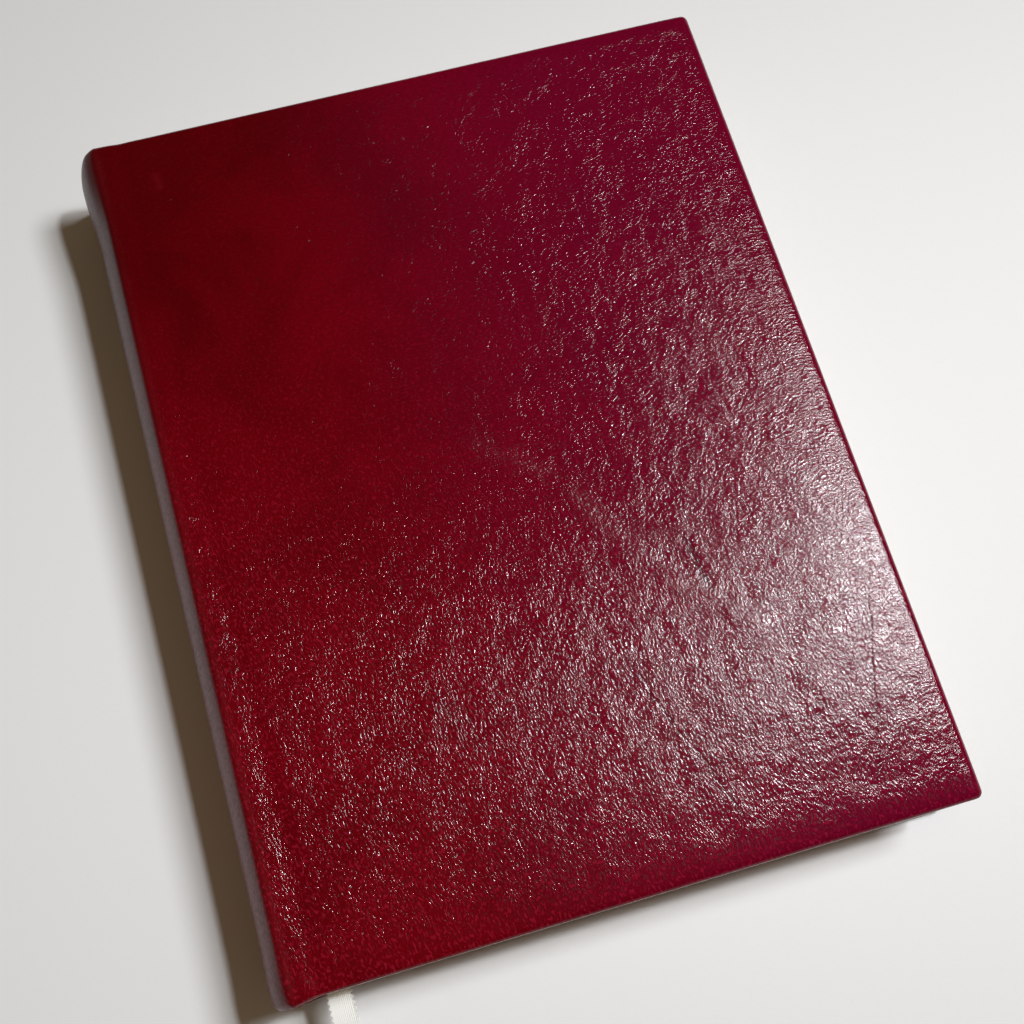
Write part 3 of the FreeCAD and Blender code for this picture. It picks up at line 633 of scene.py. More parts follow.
def make_page_block():
    """The sewn sections as their leaves, each cut a little short or proud of its neighbours.

    A leaf is drawn about twice as thick as writing paper, which would be too fine to show.
    """
    draw = random.Random(14)
    count = SECTIONS * LEAVES_IN_SECTION
    stops = np.linspace(0, 1, 12) ** 0.7
    points, faces = [], []
    for k in range(count):
        low, high = (leaf_line(2 * (k + end) / count - 1, stops) for end in (0, 1))
        high[:, 1] -= LEAF_GAP
        at_fold = k % LEAVES_IN_SECTION in (0, LEAVES_IN_SECTION - 1)
        short = FOLD_SHORT if at_fold else 0
        front_cut, end_cut = (short + draw.uniform(0, CUT_SCATTER) for _ in range(2))
        beside_ribbon = abs(k + 0.5 - count / 2) < 2
        if beside_ribbon:
            end_cut = 0
        for line in (low, high):
            line[0, 0] -= front_cut
            line[-1, 0] += short
        ring = np.concatenate([low, high[::-1]])
        first, size = len(points), len(ring)
        for y in (-PAGE_HALF + end_cut, PAGE_HALF - end_cut):
            points += [(x, y, z) for x, z in ring]
        faces += grid_faces(2, size, first=first, closed=True)
        faces += strip_ends((first, first + size), size)
    piece = mesh_piece("page_block", points, faces, "spine_and_pages")
    tidy_mesh(piece, 1e-8, 5e-9, 20)
    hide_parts("text_block")
    return piece


def make_endpaper(name, upper):
    """A pastedown that carries on down the board's edge, over the joint and onto the shoulder."""
    middle = (PASTE_LOW.z + PASTE_HIGH.z) / 2
    edge = PASTE_LOW.x - PAPER_OFF_BOARD * MM
    bend = PAPER_BEND * MM
    line = [(x, middle) for x in np.linspace(PASTE_HIGH.x, PASTE_LOW.x + 1 * MM, 30)]
    line += [(edge + bend * (1 - math.sin(a)), middle + bend * (1 - math.cos(a)))
             for a in np.radians(np.linspace(0, 90, 5))]
    line += [(edge, z) for z in np.linspace(middle + 2 * bend, EDGE_FOOT * MM, 4)]
    line += [tuple(p) for p in np.linspace(ON_JOINT, ON_SHOULDER, 5) * MM]
    line = np.array(line)
    across = PAPER_HALF * MM * sideways(line)
    ring = np.concatenate([line + across, (line - across)[::-1]])
    rows = np.linspace(-PASTE_HIGH.y, PASTE_HIGH.y, 33)
    points = [(x, y, z if upper else THICK - z) for y in rows for x, z in ring]
    size = len(ring)
    faces = grid_faces(len(rows), size, closed=True)
    faces += strip_ends((0, (len(rows) - 1) * size), size)
    piece = mesh_piece(name, points, faces)
    tidy_mesh(piece, 1e-8, 5e-9, 40)
    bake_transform(piece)
    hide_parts("front_pastedown" if upper else "back_pastedown")
    return piece


def make_band(name, node, end):
    """A round cord bound side by side with thread, laid along the rounded back at one end."""
    low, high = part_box(node)
    inset = CORD_RADIUS + CORD_INSET
    y = high.y - inset if end > 0 else low.y + inset
    radius = BACK_RADIUS - CORD_RADIUS + CORD_RISE
    wraps = int(2 * BAND_REACH * radius / WRAP_PITCH)
    steps = 6 * wraps
    laps = 12
    axis = np.array([0, 1, 0])
    points = []
    for i in range(steps + 1):
        turn = -BAND_REACH + 2 * BAND_REACH * i / steps
        out = np.array([-math.cos(turn), 0.0, math.sin(turn)])
        centre = np.array([BACK_CENTRE, y, MID]) + out * radius
        bulge = abs(math.sin(math.pi * wraps * i / steps))
        taper = 1 - 0.5 * smooth(abs(turn), BAND_REACH - BAND_TAPER, BAND_REACH)
        thick = CORD_RADIUS * (1 - WRAP_BULGE + WRAP_BULGE * bulge) * taper
        for lap in np.radians(np.arange(0, 360, 360 / laps)):
            points.append(centre + thick * (out * math.cos(lap) + axis * math.sin(lap)))
    faces = grid_faces(steps + 1, laps, closed=True)
    faces += [list(range(laps)), list(range(steps * laps, (steps + 1) * laps))]
    piece = mesh_piece(name, points, faces, "spine_and_pages")
    tidy_mesh(piece, 1e-8, 5e-9, 60)
    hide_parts(node)
    return piece


# ---------------------------------------------------------------- materials


def mark_mask(tree, coords, start, end, width, wander=0.6 * MM):
    """A soft stroke on the cover between two places in mm: 1 on its line, 0 past its width."""
    start, end = (Vector((x * MM, y * MM, 0)) for x, y in (start, end))
    along = (end - start).normalized()
    across = Vector((-along.y, along.x, 0))
    length = (end - start).length
    ripple = add_node(tree, "TexNoise", {"noise_dimensions": "2D"}, {
        "Vector": coords, "Scale": 1 / (6 * MM), "Detail": 2})
    offset = add_node(tree, "VectorMath", {"operation": "SUBTRACT"}, {
        0: coords, 1: start})
    side = add_node(tree, "VectorMath", {"operation": "DOT_PRODUCT"}, {
        0: offset, 1: across})
    push = add_node(tree, "Math", {"operation": "MULTIPLY_ADD"}, {
        0: ripple, 1: 2 * wander, 2: -wander})
    bent = add_node(tree, "Math", {"operation": "ADD"}, {
        0: side.outputs["Value"], 1: push})
    apart = add_node(tree, "Math", {"operation": "ABSOLUTE"}, {0: bent})
    stroke = add_node(tree, "MapRange", {"interpolation_type": "SMOOTHSTEP"}, {
        "Value": apart, "From Min": 0, "From Max": width,
        "To Min": 1, "To Max": 0})
    run = add_node(tree, "VectorMath", {"operation": "DOT_PRODUCT"}, {
        0: offset, 1: along})
    middle = add_node(tree, "Math", {"operation": "SUBTRACT"}, {
        0: run.outputs["Value"], 1: length / 2})
    beyond = add_node(tree, "Math", {"operation": "ABSOLUTE"}, {0: middle})
    ends = add_node(tree, "MapRange", {"interpolation_type": "SMOOTHSTEP"}, {
        "Value": beyond, "From Min": length * 0.3, "From Max": length * 0.52,
        "To Min": 1, "To Max": 0})
    mask = add_node(tree, "Math", {"operation": "MULTIPLY"}, {
        0: stroke, 1: ends})
    return mask


def patch_mask(tree, coords, centre, radius_x, radius_y):
    """A soft round patch, its centre and radii in mm: 1 in the middle, 0 at its rim."""
    offset = add_node(tree, "VectorMath", {"operation": "SUBTRACT"}, {
        0: coords, 1: (centre[0] * MM, centre[1] * MM, 0)})
    share = add_node(tree, "VectorMath", {"operation": "MULTIPLY"}, {
        0: offset, 1: (1 / (radius_x * MM), 1 / (radius_y * MM), 0)})
    far = add_node(tree, "VectorMath", {"operation": "LENGTH"}, {0: share})
    mask = add_node(tree, "MapRange", {"interpolation_type": "SMOOTHSTEP"}, {
        "Value": far.outputs["Value"], "From Min": 0, "From Max": 1, "To Min": 1, "To Max": 0})
    return mask


def pebble_grain(tree, coords, grain):
    """The height of the pebbles, 0 to 1, and the broader unevenness that they lie on.

    The grain flows: its wrinkles run along the spine near the tail and across it by the head.
    """
    drift = add_node(tree, "TexNoise", {"noise_dimensions": "2D"}, {
        "Vector": coords, "Scale": 1 / (7 * MM), "Detail": 2})
    drifted = add_node(tree, "VectorMath", {"operation": "MULTIPLY_ADD"}, {
        0: drift.outputs["Color"], 1: (2.2 * MM, 2.2 * MM, 0), 2: coords})
    wrinkles = []
    for turn in (4, -78):
        laid = add_node(tree, "Mapping", {"vector_type": "TEXTURE"}, {
            "Vector": drifted, "Rotation": (0, 0, math.radians(turn)),
            "Scale": (2.1, 1, 1)})
        wrinkles.append(add_node(tree, "TexNoise", {"noise_dimensions": "2D"}, {
            "Vector": laid, "Scale": 1 / grain, "Detail": 2.5,
            "Roughness": 0.5, "Distortion": 0.25}))
    slant = add_node(tree, "VectorMath", {"operation": "DOT_PRODUCT"}, {
        0: coords, 1: (0.45, 0.55, 0)})
    flow = add_node(tree, "MapRange", {"interpolation_type": "SMOOTHSTEP"}, {
        "Value": slant.outputs["Value"], "From Min": -50 * MM, "From Max": 45 * MM,
        "To Min": 1, "To Max": 0})
    pebble = add_node(tree, "Mix", {"data_type": "FLOAT"}, {
        0: flow, 2: wrinkles[0], 3: wrinkles[1]})
    broad = add_node(tree, "TexNoise", {"noise_dimensions": "2D"}, {
        "Vector": drifted, "Scale": 1 / (3.4 * MM), "Detail": 2, "Roughness": 0.5})
    return pebble, broad


def grain_relief(tree, coords, place):
    """How strongly the grain stands out, and where hands have smoothed it.

    Stretched leather is smoother: on the spine and along the turned edges.
    """
    relief = add_node(tree, "MapRange", {"interpolation_type": "SMOOTHSTEP"}, {
        "Value": place[0], "From Min": STRETCHED_X, "From Max": GRAINED_X,
        "To Min": 0.2, "To Max": 1})
    for axis, edge, width in ((0, FORE_X, 3.5), (1, HALF_HEIGHT, 5), (1, -HALF_HEIGHT, 10)):
        inward = -width * MM * math.copysign(1, edge)
        smoother = add_node(tree, "MapRange", {"interpolation_type": "SMOOTHSTEP"}, {
            "Value": place[axis], "From Min": edge, "From Max": edge + inward,
            "To Min": 0.3, "To Max": 1})
        relief = add_node(tree, "Math", {"operation": "MULTIPLY"}, {
            0: relief, 1: smoother})
    handled = patch_mask(tree, coords, *HANDLED)
    worn = add_node(tree, "Math", {"operation": "MULTIPLY_ADD"}, {
        0: handled, 1: -0.68, 2: 1.1})
    relief = add_node(tree, "Math", {"operation": "MULTIPLY"}, {
        0: relief, 1: worn})
    return relief, handled


def dye_and_painted_light(tree, coords, place, pebble):
    """The cover's colour: slow cloudy patches of dye, darker over the head half, the broad darkening
    at the head end by the spine partly painted shade; cooler towards the fore-edge, partly the dye's
    tone and partly a painted tint of the bluish sheen there.

    It is darker in the creases, partly pooled dye and partly painted shade, and the tops of the
    pebbles are painted paler pink as painted glints, most of all below the head.
    """
    s = bpy.context.scene.journal_leather
    cloud = add_node(tree, "TexNoise", {"noise_dimensions": "2D"}, {
        "Vector": coords, "Scale": 1 / (30 * MM), "Detail": 5, "Roughness": 0.6,
        "Distortion": 0.4})
    depth = add_node(tree, "MapRange", {}, {
        "Value": cloud, "From Min": 0.42, "From Max": 0.62,
        "To Min": 0, "To Max": 0.4})
    # Darker patches: dye, and over the head end by the spine painted shade as well.
    for patch_place in DYE_AND_SHADE_PATCHES:
        patch = patch_mask(tree, coords, *patch_place)
        depth = add_node(tree, "Math", {"operation": "MULTIPLY_ADD"}, {
            0: patch, 1: 0.4, 2: depth})
    depth = add_node(tree, "Clamp", {}, {"Value": depth})
    # Cooler towards the fore-edge: partly the dye's tone, partly a painted tint of the bluish sheen
    # there.
    to_fore = add_node(tree, "MapRange", {"interpolation_type": "SMOOTHSTEP"}, {
        "Value": place[0], "From Min": -50 * MM, "From Max": 60 * MM,
        "To Min": 0, "To Max": 0.75})
    # Painted shade, partly pooled dye: the grain's creases are painted darker.
    crease = add_node(tree, "MapRange", {}, {
        "Value": pebble, "From Min": 0.3, "From Max": 0.5, "To Min": 0.5, "To Max": 0})
    # Painted glints: the tops of the pebbles are painted a paler pink, most of all below the head.
    top = add_node(tree, "MapRange", {"interpolation_type": "SMOOTHSTEP"}, {
        "Value": pebble, "From Min": 0.5, "From Max": 0.7, "To Min": 0, "To Max": 0.3})
    below_head = add_node(tree, "MapRange", {"interpolation_type": "SMOOTHSTEP"}, {
        "Value": place[1], "From Min": 70 * MM, "From Max": -40 * MM,
        "To Min": 0.15, "To Max": 1})
    rub_and_glint = add_node(tree, "Math", {"operation": "MULTIPLY"}, {
        0: top, 1: below_head})
    dye = shade(s.dye)
    for share, tone in ((depth, s.dark_dye_and_shade), (to_fore, s.wine_dye_and_sheen_tint), (crease, s.dark_dye_and_shade),
                        (rub_and_glint, "#b42640")):
        dye = add_node(tree, "Mix", {"data_type": "RGBA"}, {
            0: share, 6: dye, 7: shade(tone)}).outputs[2]
    return dye


def add_marks(tree, coords, height, dull, colour):
    """The front cover's own marks: a vein, a rub, a scar and fine creases."""
    for start, end in zip(VEIN, VEIN[1:]):
        vein = mark_mask(tree, coords, start, end, 5 * MM, wander=2 * MM)
        height = add_node(tree, "Math", {"operation": "MULTIPLY_ADD"}, {
            0: vein, 1: 0.7, 2: height})
        dull = add_node(tree, "Math", {"operation": "MULTIPLY_ADD"}, {
            0: vein, 1: 0.08, 2: dull})
    rub = mark_mask(tree, coords, *RUB, 1.6 * MM)
    rub_and_glint = add_node(tree, "Math", {"operation": "MULTIPLY"}, {0: rub, 1: 0.12})
    colour = add_node(tree, "Mix", {"data_type": "RGBA"}, {
        0: rub_and_glint, 6: colour, 7: shade("#8c1a2c")}).outputs[2]
    for start, end, width, share in CUTS:
        mask = mark_mask(tree, coords, start, end, width * MM)
        strength = add_node(tree, "Math", {"operation": "MULTIPLY"}, {
            0: mask, 1: share})
        colour = add_node(tree, "Mix", {"data_type": "RGBA"}, {
            0: strength, 6: colour, 7: shade("#3c0006")}).outputs[2]
        height = add_node(tree, "Math", {"operation": "MULTIPLY_ADD"}, {
            0: mask, 1: -0.2, 2: height})
    return height, dull, colour


def leather_material(name, marked):
    """Aniline-dyed calf, boarded by hand and polished: a soft pebble grain with a low, broad sheen.

    The dye sinks in unevenly, so the red is blotchy; the polish sits on top of the grain, so its
    pebbles catch small glints while the creases between them stay dull. The colour also holds painted
    shade in the creases and at the head end by the spine, painted glints and a painted tint of the
    sheen.
    """
    s = bpy.context.scene.journal_leather
    material, tree, shader = new_material(name)
    coords = add_node(tree, "UVMap", {"uv_map": "developed"})
    place = add_node(tree, "SeparateXYZ", {}, {0: coords}).outputs
    pebble, broad = pebble_grain(tree, coords, s.grain)
    height = add_node(tree, "Math", {"operation": "MULTIPLY_ADD"}, {
        0: broad, 1: 0.8, 2: pebble})

    # The pebbles lean more and more towards the tail, which draws the sheen up the cover.
    below = add_node(tree, "Math", {"operation": "SUBTRACT", "use_clamp": True}, {
        0: LEAN_START, 1: place[1]})
    lean = add_node(tree, "Math", {"operation": "POWER"}, {0: below, 1: 2})
    height = add_node(tree, "Math", {"operation": "MULTIPLY_ADD"}, {
        0: lean, 1: LEAN, 2: height})
    relief, handled = grain_relief(tree, coords, place)
    colour = dye_and_painted_light(tree, coords, place, pebble)

    # The polish has gone a little dull where the book is handled.
    dull = add_node(tree, "MapRange", {"interpolation_type": "SMOOTHSTEP"}, {
        "Value": place[0], "From Min": STRETCHED_X, "From Max": GRAINED_X,
        "To Min": 0.25, "To Max": 0})
    dull = add_node(tree, "Math", {"operation": "MULTIPLY_ADD"}, {
        0: handled, 1: 0.05, 2: dull})
    if marked:
        height, dull, colour = add_marks(tree, coords, height, dull, colour)

    # Polish lies on the pebbles and misses the creases.
    polish = add_node(tree, "MapRange", {}, {
        "Value": pebble, "From Min": 0.35, "From Max": 0.5,
        "To Min": s.roughness + 0.12, "To Max": s.roughness})
    polish = add_node(tree, "Math", {"operation": "ADD"}, {
        0: polish, 1: dull})
    bump = add_node(tree, "Bump", {}, {
        "Strength": relief, "Distance": s.relief, "Height": height})
    feed(tree, shader, {
        "Base Color": colour, "Roughness": polish, "Normal": bump, "IOR": 1.36})
    return material


def fibre_material(name, colour, roughness, thread, relief):
    """Paper, card or cloth of one tone, with the fibre or thread of its own scale."""
    material, tree, shader = new_material(name)
    coords = add_node(tree, "TexCoord").outputs["Object"]
    fibre = add_node(tree, "TexNoise", {}, {
        "Vector": coords, "Scale": 1 / thread, "Detail": 4, "Roughness": 0.65})
    flecks = add_node(tree, "TexNoise", {}, {
        "Vector": coords, "Scale": 1 / (14 * thread), "Detail": 3})
    tone = add_node(tree, "Mix", {"data_type": "RGBA", "blend_type": "MULTIPLY"}, {
        0: 0.25, 6: shade(colour), 7: fibre})
    tone = add_node(tree, "Mix", {"data_type": "RGBA", "blend_type": "MULTIPLY"}, {
        0: 0.15, 6: tone.outputs[2], 7: flecks})
    bump = add_node(tree, "Bump", {}, {
        "Strength": 1.0, "Distance": relief, "Height": fibre})
    feed(tree, shader, {
        "Base Color": tone.outputs[2], "Normal": bump, "Roughness": roughness})
    return material


def page_edge_material():
    """Wove writing paper, sewn and trimmed: each leaf's edge is a slightly different cream."""
    paper = bpy.context.scene.journal_paper
    material, tree, shader = new_material("wove_paper_leaves")
    coords = add_node(tree, "TexCoord").outputs["Object"]
    along_leaves = add_node(tree, "VectorMath", {"operation": "MULTIPLY"}, {
        0: coords, 1: (1 / (30 * MM), 1 / (30 * MM), 1 / (0.22 * MM))})
    leaf = add_node(tree, "TexNoise", {}, {
        "Vector": along_leaves, "Scale": 1.0, "Detail": 3, "Roughness": 0.7})
    fibre = add_node(tree, "TexNoise", {}, {
        "Vector": coords, "Scale": 1 / (0.15 * MM), "Detail": 3})
    share = add_node(tree, "MapRange", {}, {
        "Value": leaf, "From Min": 0.35, "From Max": 0.65})
    tone = add_node(tree, "Mix", {"data_type": "RGBA"}, {
        0: share, 6: shade("#c9bfa6"), 7: shade(paper.pages)})
    height = add_node(tree, "Math", {"operation": "MULTIPLY_ADD"}, {
        0: fibre, 1: 0.4, 2: leaf})
    bump = add_node(tree, "Bump", {}, {
        "Strength": 0.7, "Distance": 0.05 * MM, "Height": height})
    feed(tree, shader, {
        "Base Color": tone.outputs[2], "Normal": bump, "Roughness": 0.88})
    return material


def floor_material():
    """White cartridge paper: matt, with only the faintest tooth, drawn coarse enough to show."""
    s = bpy.context.scene.journal_stage
    material, tree, shader = new_material("white_cartridge_paper")
    coords = add_node(tree, "TexCoord").outputs["Object"]
    tooth = add_node(tree, "TexNoise", {}, {
        "Vector": coords, "Scale": 1 / (0.9 * MM), "Detail": 2})
    # Painted light: a painted pool of light, the paper paler round the book and greyer away from it.
    near = patch_mask(tree, coords, (50, -30), 460, 290)
    paper = add_node(tree, "Mix", {"data_type": "RGBA"}, {
        0: near, 6: shade("#d2d2d2"), 7: shade(s.floor)})
    tone = add_node(tree, "Mix", {"data_type": "RGBA", "blend_type": "MULTIPLY"}, {
        0: 0.03, 6: paper.outputs[2], 7: tooth})
    feed(tree, shader, {"Base Color": tone.outputs[2], "Roughness": 0.7})

    # Far off it runs into the pale backdrop.
    centre = add_node(tree, "VectorMath", {"operation": "LENGTH"}, {0: coords})
    far = add_node(tree, "MapRange", {"interpolation_type": "SMOOTHSTEP"}, {
        "Value": centre.outputs["Value"], "From Min": 0.3, "From Max": 1.1})
    rays = add_node(tree, "LightPath").outputs
    share = add_node(tree, "Math", {"operation": "MULTIPLY"}, {
        0: far, 1: rays["Is Camera Ray"]})
    pale = add_node(tree, "Emission", {}, {"Color": shade(BACKDROP)})
    surface = add_node(tree, "MixShader", {}, {
        0: share, 1: shader, 2: pale})
    feed(tree, tree.nodes["Material Output"], {"Surface": surface})
    return material


def room_world():
    """The room: a pale backdrop to the eye, dim overhead in gloss, and a low warm fill."""
    world = bpy.data.worlds.new("room")
    world.use_nodes = True
    tree = world.node_tree
    rays = add_node(tree, "LightPath").outputs
    aim = add_node(tree, "TexCoord").outputs["Generated"]
    height = add_node(tree, "SeparateXYZ", {}, {0: aim}).outputs[2]
    overhead = add_node(tree, "MapRange", {"interpolation_type": "SMOOTHSTEP"}, {
        "Value": height, "From Min": 0.02, "From Max": 0.2, "To Min": 0, "To Max": 1})
    gloss = add_node(tree, "Mix", {"data_type": "RGBA"}, {
        0: overhead, 6: shade(LOW_GLOSS), 7: shade(OVERHEAD_GLOSS)})
    colour = add_node(tree, "Mix", {"data_type": "RGBA"}, {
        0: rays["Is Glossy Ray"], 6: shade(FILL), 7: gloss.outputs[2]})
    seen = add_node(tree, "Math", {"operation": "MAXIMUM"}, {
        0: rays["Is Camera Ray"], 1: rays["Is Transmission Ray"]})
    colour = add_node(tree, "Mix", {"data_type": "RGBA"}, {
        0: seen, 6: colour.outputs[2], 7: shade(BACKDROP)})
    feed(tree, tree.nodes["Background"], {"Color": colour.outputs[2]})
    return world


# ---------------------------------------------------------------- the ribbon


def route_points():
    """The ribbon's route as a NURBS curve's own line, in the frame."""
    curve = bpy.data.curves.new("ribbon_route", "CURVE")
    curve.dimensions = "3D"
    curve.resolution_u = 12
    spline = curve.splines.new("NURBS")
    spline.points.add(len(RIBBON_ROUTE) - 1)
    for point, (out, height) in zip(spline.points, RIBBON_ROUTE):
        point.co = (RIBBON_X, -PAGE_HALF - out * MM, height * MM, 1)
    spline.order_u = 3
    spline.use_endpoint_u = True
    holder = bpy.data.objects.new("ribbon_route", curve)
    bpy.context.scene.collection.objects.link(holder)
    bpy.context.view_layer.update()
    mesh = bpy.data.meshes.new_from_object(holder)
    points = np.array([v.co for v in mesh.vertices], float)
    bpy.data.objects.remove(holder)
    bpy.data.meshes.remove(mesh)
    bpy.data.curves.remove(curve)
    return points


def on_route(line, lengths, at):
    """The middle of the ribbon at a length along it, the way it runs and its upper side."""
    centre, behind, before = (
        np.array([np.interp(at + shift, lengths, line[:, k]) for k in range(3)])
        for shift in (0, -0.2 * MM, 0.2 * MM))
    ahead = before - behind
    ahead /= np.linalg.norm(ahead)
    up = np.array([0.0, -ahead[2], ahead[1]])
    up *= -1 if up[2] < 0 else 1
    return centre, ahead, up


def make_ribbon():
    """A flat woven band with warp ribs, a loop at each step of both edges, and a slant cut."""
    s = bpy.context.scene.journal_ribbon
    line = route_points()
    lengths = lengths_along(line)
    total = float(lengths[-1])
    body_half = s.width / 2 - PICOT_BORDER
    across = np.linspace(-1, 1, 4 * WARP_RIBS + 1)
    step = 0.5 * MM
    count = int(total / step)
    points, faces = [], []
    for i in range(count + 1):
        at = i / count * total
        ring = []
        for share in np.concatenate([across, across[::-1]]):
            slant = (share - 1) * CUT_SLANT * smooth(at, total - CUT_LENGTH, total)
            centre, _, up = on_route(line, lengths, at + slant)
            side = 1 if len(ring) < len(across) else -1
            rib = RIB_HEIGHT * math.cos(share * math.pi * WARP_RIBS)
            rise = side * (s.thick / 2 - 0.05 * MM + rib)
            ring.append(centre + [share * body_half, 0, 0] + up * rise)
        points += ring
    size = 2 * len(across)
    faces += grid_faces(count + 1, size, closed=True)
    faces += [list(range(size)), list(range(count * size, (count + 1) * size))]

    loops = int(total / s.picot) - 1
    for edge in (-1, 1):
        for k in range(loops):
            centre, ahead, up = on_route(line, lengths, (k + 0.7) * s.picot)
            out = np.array([edge, 0.0, 0.0])
            root = centre + out * (body_half - PICOT_ROOT)
            first = len(points)
            turns = np.radians(np.linspace(-90, 90, 7))
            for turn in turns:
                middle = (root + ahead * math.sin(turn) * PICOT_HALF
                          + out * math.cos(turn) * PICOT_OUT)
                away = ahead * math.sin(turn) + out * math.cos(turn)
                for lap in np.radians([45, 135, 225, 315]):
                    points.append(
                        middle + (away * math.cos(lap) + up * math.sin(lap)) * PICOT_THREAD)
            faces += grid_faces(len(turns), 4, first=first, closed=True)
            last = first + 4 * (len(turns) - 1)
            faces += [[first, first + 1, first + 2, first + 3],
                      [last, last + 1, last + 2, last + 3]]
    piece = mesh_piece("ribbon", points, faces, "spine_and_pages")
    tidy_mesh(piece, 1e-7, 5e-8, 50)
    set_material(piece, satin_material())
    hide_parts("ribbon_marker")
    return piece


def satin_material():
    """Woven rayon satin: fine warp threads lie side by side, so it is bright with a soft sheen.

    The warp is drawn as one rib for several threads, which are too fine to show.
    """
    s = bpy.context.scene.journal_ribbon
    material, tree, shader = new_material("ivory_rayon_satin")
    coords = add_node(tree, "TexCoord").outputs["Object"]
    one_band_each_metre = 2 * math.pi / 20
    warp = add_node(tree, "TexWave", {"bands_direction": "X"}, {
        "Vector": coords, "Scale": one_band_each_metre / WARP_PITCH, "Distortion": 0.5,
        "Detail": 2, "Detail Scale": 3})
    weft = add_node(tree, "TexNoise", {}, {
        "Vector": coords, "Scale": 1 / (0.3 * MM), "Detail": 2})
    # Painted shade: the grooves between the warp's ribs are painted a touch darker.
    tone = add_node(tree, "Mix", {"data_type": "RGBA"}, {
        0: warp.outputs["Fac"], 6: shade("#fafaf6"), 7: shade(s.colour)})
    height = add_node(tree, "Math", {"operation": "MULTIPLY_ADD"}, {
        0: weft, 1: 0.4, 2: warp.outputs["Fac"]})
    bump = add_node(tree, "Bump", {}, {
        "Strength": 1.0, "Distance": 0.06 * MM, "Height": height})
    feed(tree, shader, {
        "Base Color": tone.outputs[2], "Normal": bump, "Roughness": 0.42, "Sheen Weight": 0.15})
    return material


# ---------------------------------------------------------------- operators


class JOURNAL_OT_skins(bpy.types.Operator):
    """Make the leather of both covers and the spine"""

    bl_idname = "journal.skins"
    bl_label = "Leather skins"

    def execute(self, context):
        set_material(make_skin("front_skin", True), leather_material("boarded_calf_front", True))
        set_material(make_skin("back_skin", False), leather_material("boarded_calf_back", False))
        return {"FINISHED"}


class JOURNAL_OT_ribbon(bpy.types.Operator):
    """Make the free tail of the ribbon marker"""

    bl_idname = "journal.ribbon"
    bl_label = "Ribbon marker"

    def execute(self, context):
        make_ribbon()
        return {"FINISHED"}


class JOURNAL_OT_pages(bpy.types.Operator):
    """Make the sewn pages, the endpapers and the two bound bands"""

    bl_idname = "journal.pages"
    bl_label = "Pages and endpapers"

    def execute(self, context):
        paper = context.scene.journal_paper
        set_material(make_page_block(), page_edge_material())
        endpaper = fibre_material("ivory_endpaper", paper.endpaper, 0.85, 0.15 * MM, 0.01 * MM)
        for name, upper in (("front_endpaper", True), ("back_endpaper", False)):
            set_material(make_endpaper(name, upper), endpaper)
        for node in ("front_flyleaf", "back_flyleaf"):
            set_material(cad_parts[node], endpaper)
        thread = fibre_material("ivory_silk_thread", "#e9e0c8", 0.5, 0.12 * MM, 0.03 * MM)
        for name, node, end in (("head_band", "headband", 1), ("tail_band", "tailband", -1)):
            set_material(make_band(name, node, end), thread)
        return {"FINISHED"}


class JOURNAL_OT_inner_parts(bpy.types.Operator):
    """Finish the boards, papers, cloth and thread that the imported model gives"""

    bl_idname = "journal.inner_parts"
    bl_label = "Inner parts"

    def execute(self, context):
        finishes = {
            "greyboard": ("#8b8479", 0.92, 0.3 * MM, 0.03 * MM, ["front_board", "back_board"]),
            "infill_card": ("#b8ad98", 0.9, 0.25 * MM, 0.02 * MM,
                            ["front_infill", "back_infill"]),
            "manila_card": ("#b99b6d", 0.88, 0.25 * MM, 0.02 * MM, ["spine_card"]),
            "kraft_paper": ("#9c7448", 0.85, 0.3 * MM, 0.02 * MM, ["spine_lining"]),
            "cotton_mull": ("#d8d0bd", 0.95, 0.5 * MM, 0.06 * MM,
                            ["mull", "front_mull_flap", "back_mull_flap"]),
            "linen_tape": ("#cbbf9f", 0.92, 0.4 * MM, 0.05 * MM,
                           ["tape_head", "tape_middle", "tape_tail"]),
            "waxed_linen_thread": ("#d9ceb0", 0.7, 0.2 * MM, 0.03 * MM, ["sewing_thread"]),
        }
        for name, (colour, roughness, thread, relief, nodes) in finishes.items():
            material = fibre_material(name, colour, roughness, thread, relief)
            for node in nodes:
                set_material(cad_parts[node], material)
        return {"FINISHED"}


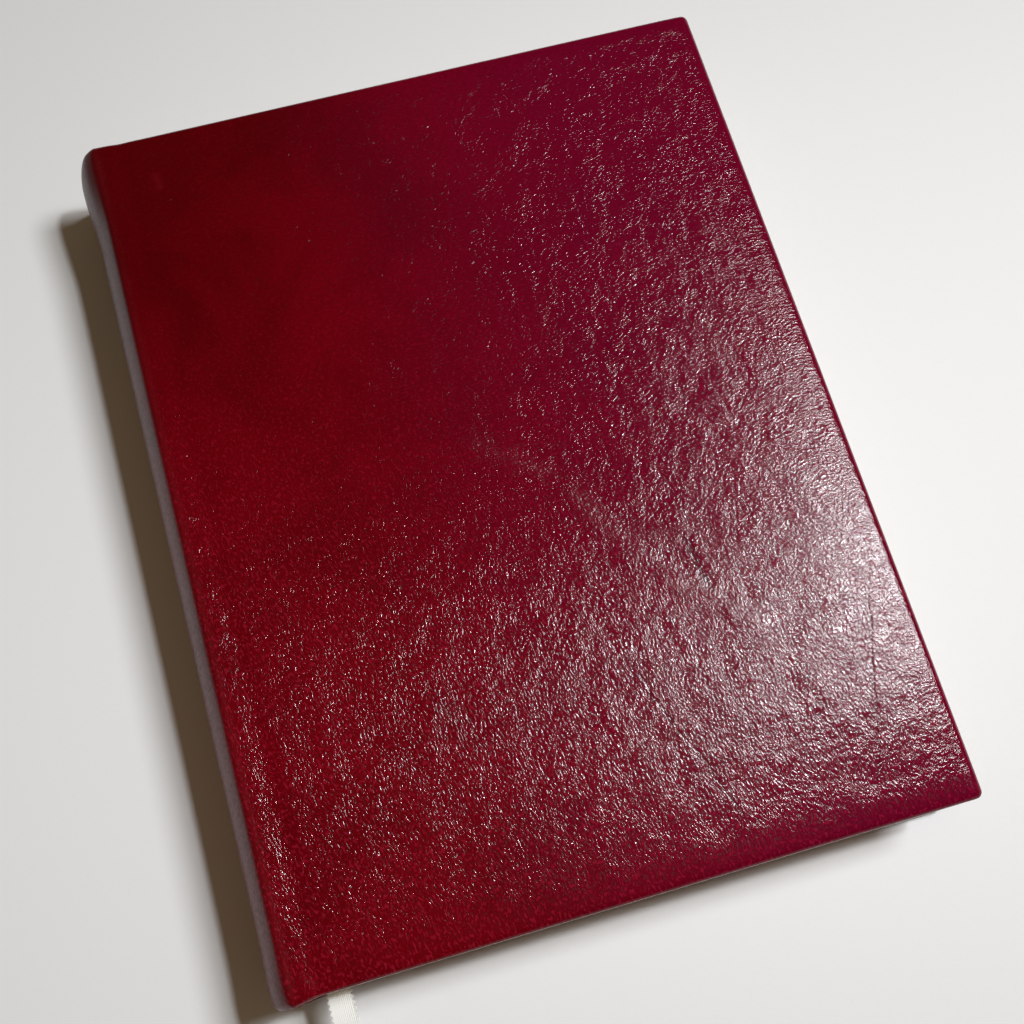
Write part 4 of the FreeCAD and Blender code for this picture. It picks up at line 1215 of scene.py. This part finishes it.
class JOURNAL_OT_stage(bpy.types.Operator):
    """Make the floor, the light and the camera"""

    bl_idname = "journal.stage"
    bl_label = "Stage"

    def add_lamp(self, context, name, power, size, tilt, heading):
        """A round soft light, tilt degrees off the vertical and heading degrees from +X to +Y."""
        data = bpy.data.lights.new(name, "AREA")
        data.shape = "DISK"
        data.size = size
        data.energy = power
        data.color = DAYLIGHT
        tilt, heading = math.radians(tilt), math.radians(heading)
        direction = Vector((math.sin(tilt) * math.cos(heading),
                            math.sin(tilt) * math.sin(heading), math.cos(tilt)))
        lamp = bpy.data.objects.new(name, data)
        lamp.location = Vector((0, 0, THICK)) + direction * LAMP_DISTANCE
        lamp.rotation_euler = direction.to_track_quat("Z", "Y").to_euler()
        context.scene.collection.objects.link(lamp)

    def execute(self, context):
        s = context.scene.journal_stage
        reach = FLOOR_REACH
        floor = mesh_piece("floor", [(-reach, -reach, 0), (reach, -reach, 0),
                                     (reach, reach, 0), (-reach, reach, 0)], [(0, 1, 2, 3)])
        set_material(floor, floor_material())

        self.add_lamp(context, "key", s.key, size=0.13, tilt=24.4, heading=1)
        self.add_lamp(context, "window", s.window, size=0.50, tilt=31.6, heading=5)

        context.scene.world = room_world()

        eye, target = Vector(s.eye), Vector(s.target)
        forward = (target - eye).normalized()
        level = forward.cross(Vector((0, 1, 0))).normalized()
        above = level.cross(forward)
        right = level * math.cos(s.roll) - above * math.sin(s.roll)
        top = right.cross(forward)
        camera_data = bpy.data.cameras.new("camera")
        camera_data.lens = s.lens
        camera_data.sensor_width = 36
        camera_data.clip_start = 0.01
        camera = bpy.data.objects.new("camera", camera_data)
        axes = Matrix((right, top, -forward)).transposed().to_4x4()
        camera.matrix_world = Matrix.Translation(eye) @ axes
        context.scene.collection.objects.link(camera)
        context.scene.camera = camera
        context.scene.view_settings.view_transform = "Standard"
        return {"FINISHED"}


class JOURNAL_PT_panel(bpy.types.Panel):
    """Lists the journal's steps"""

    bl_idname = "JOURNAL_PT_panel"
    bl_label = "Journal"
    bl_space_type = "VIEW_3D"
    bl_region_type = "UI"
    bl_category = "Journal"

    def draw(self, context):
        for step in STEPS:
            self.layout.operator(step.bl_idname)
        for name in SETTINGS:
            settings = getattr(context.scene, name)
            box = self.layout.box()
            for key in type(settings).__annotations__:
                box.prop(settings, key)


STEPS = [JOURNAL_OT_stage, JOURNAL_OT_ribbon, JOURNAL_OT_skins, JOURNAL_OT_pages,
         JOURNAL_OT_inner_parts]
SETTINGS = {
    "journal_leather": JournalLeather,
    "journal_paper": JournalPaper,
    "journal_ribbon": JournalRibbon,
    "journal_stage": JournalStage,
}


def register():
    for name, group in SETTINGS.items():
        bpy.utils.register_class(group)
        setattr(bpy.types.Scene, name, PointerProperty(type=group))
    for kind in [*STEPS, JOURNAL_PT_panel]:
        bpy.utils.register_class(kind)


def unregister():
    for kind in [JOURNAL_PT_panel, *reversed(STEPS)]:
        bpy.utils.unregister_class(kind)
    for name, group in reversed(SETTINGS.items()):
        delattr(bpy.types.Scene, name)
        bpy.utils.unregister_class(group)


def main():
    register()
    bpy.ops.journal.stage()
    bpy.ops.journal.ribbon()
    bpy.ops.journal.skins()
    bpy.ops.journal.pages()
    bpy.ops.journal.inner_parts()


if __name__ == "__main__":
    main()
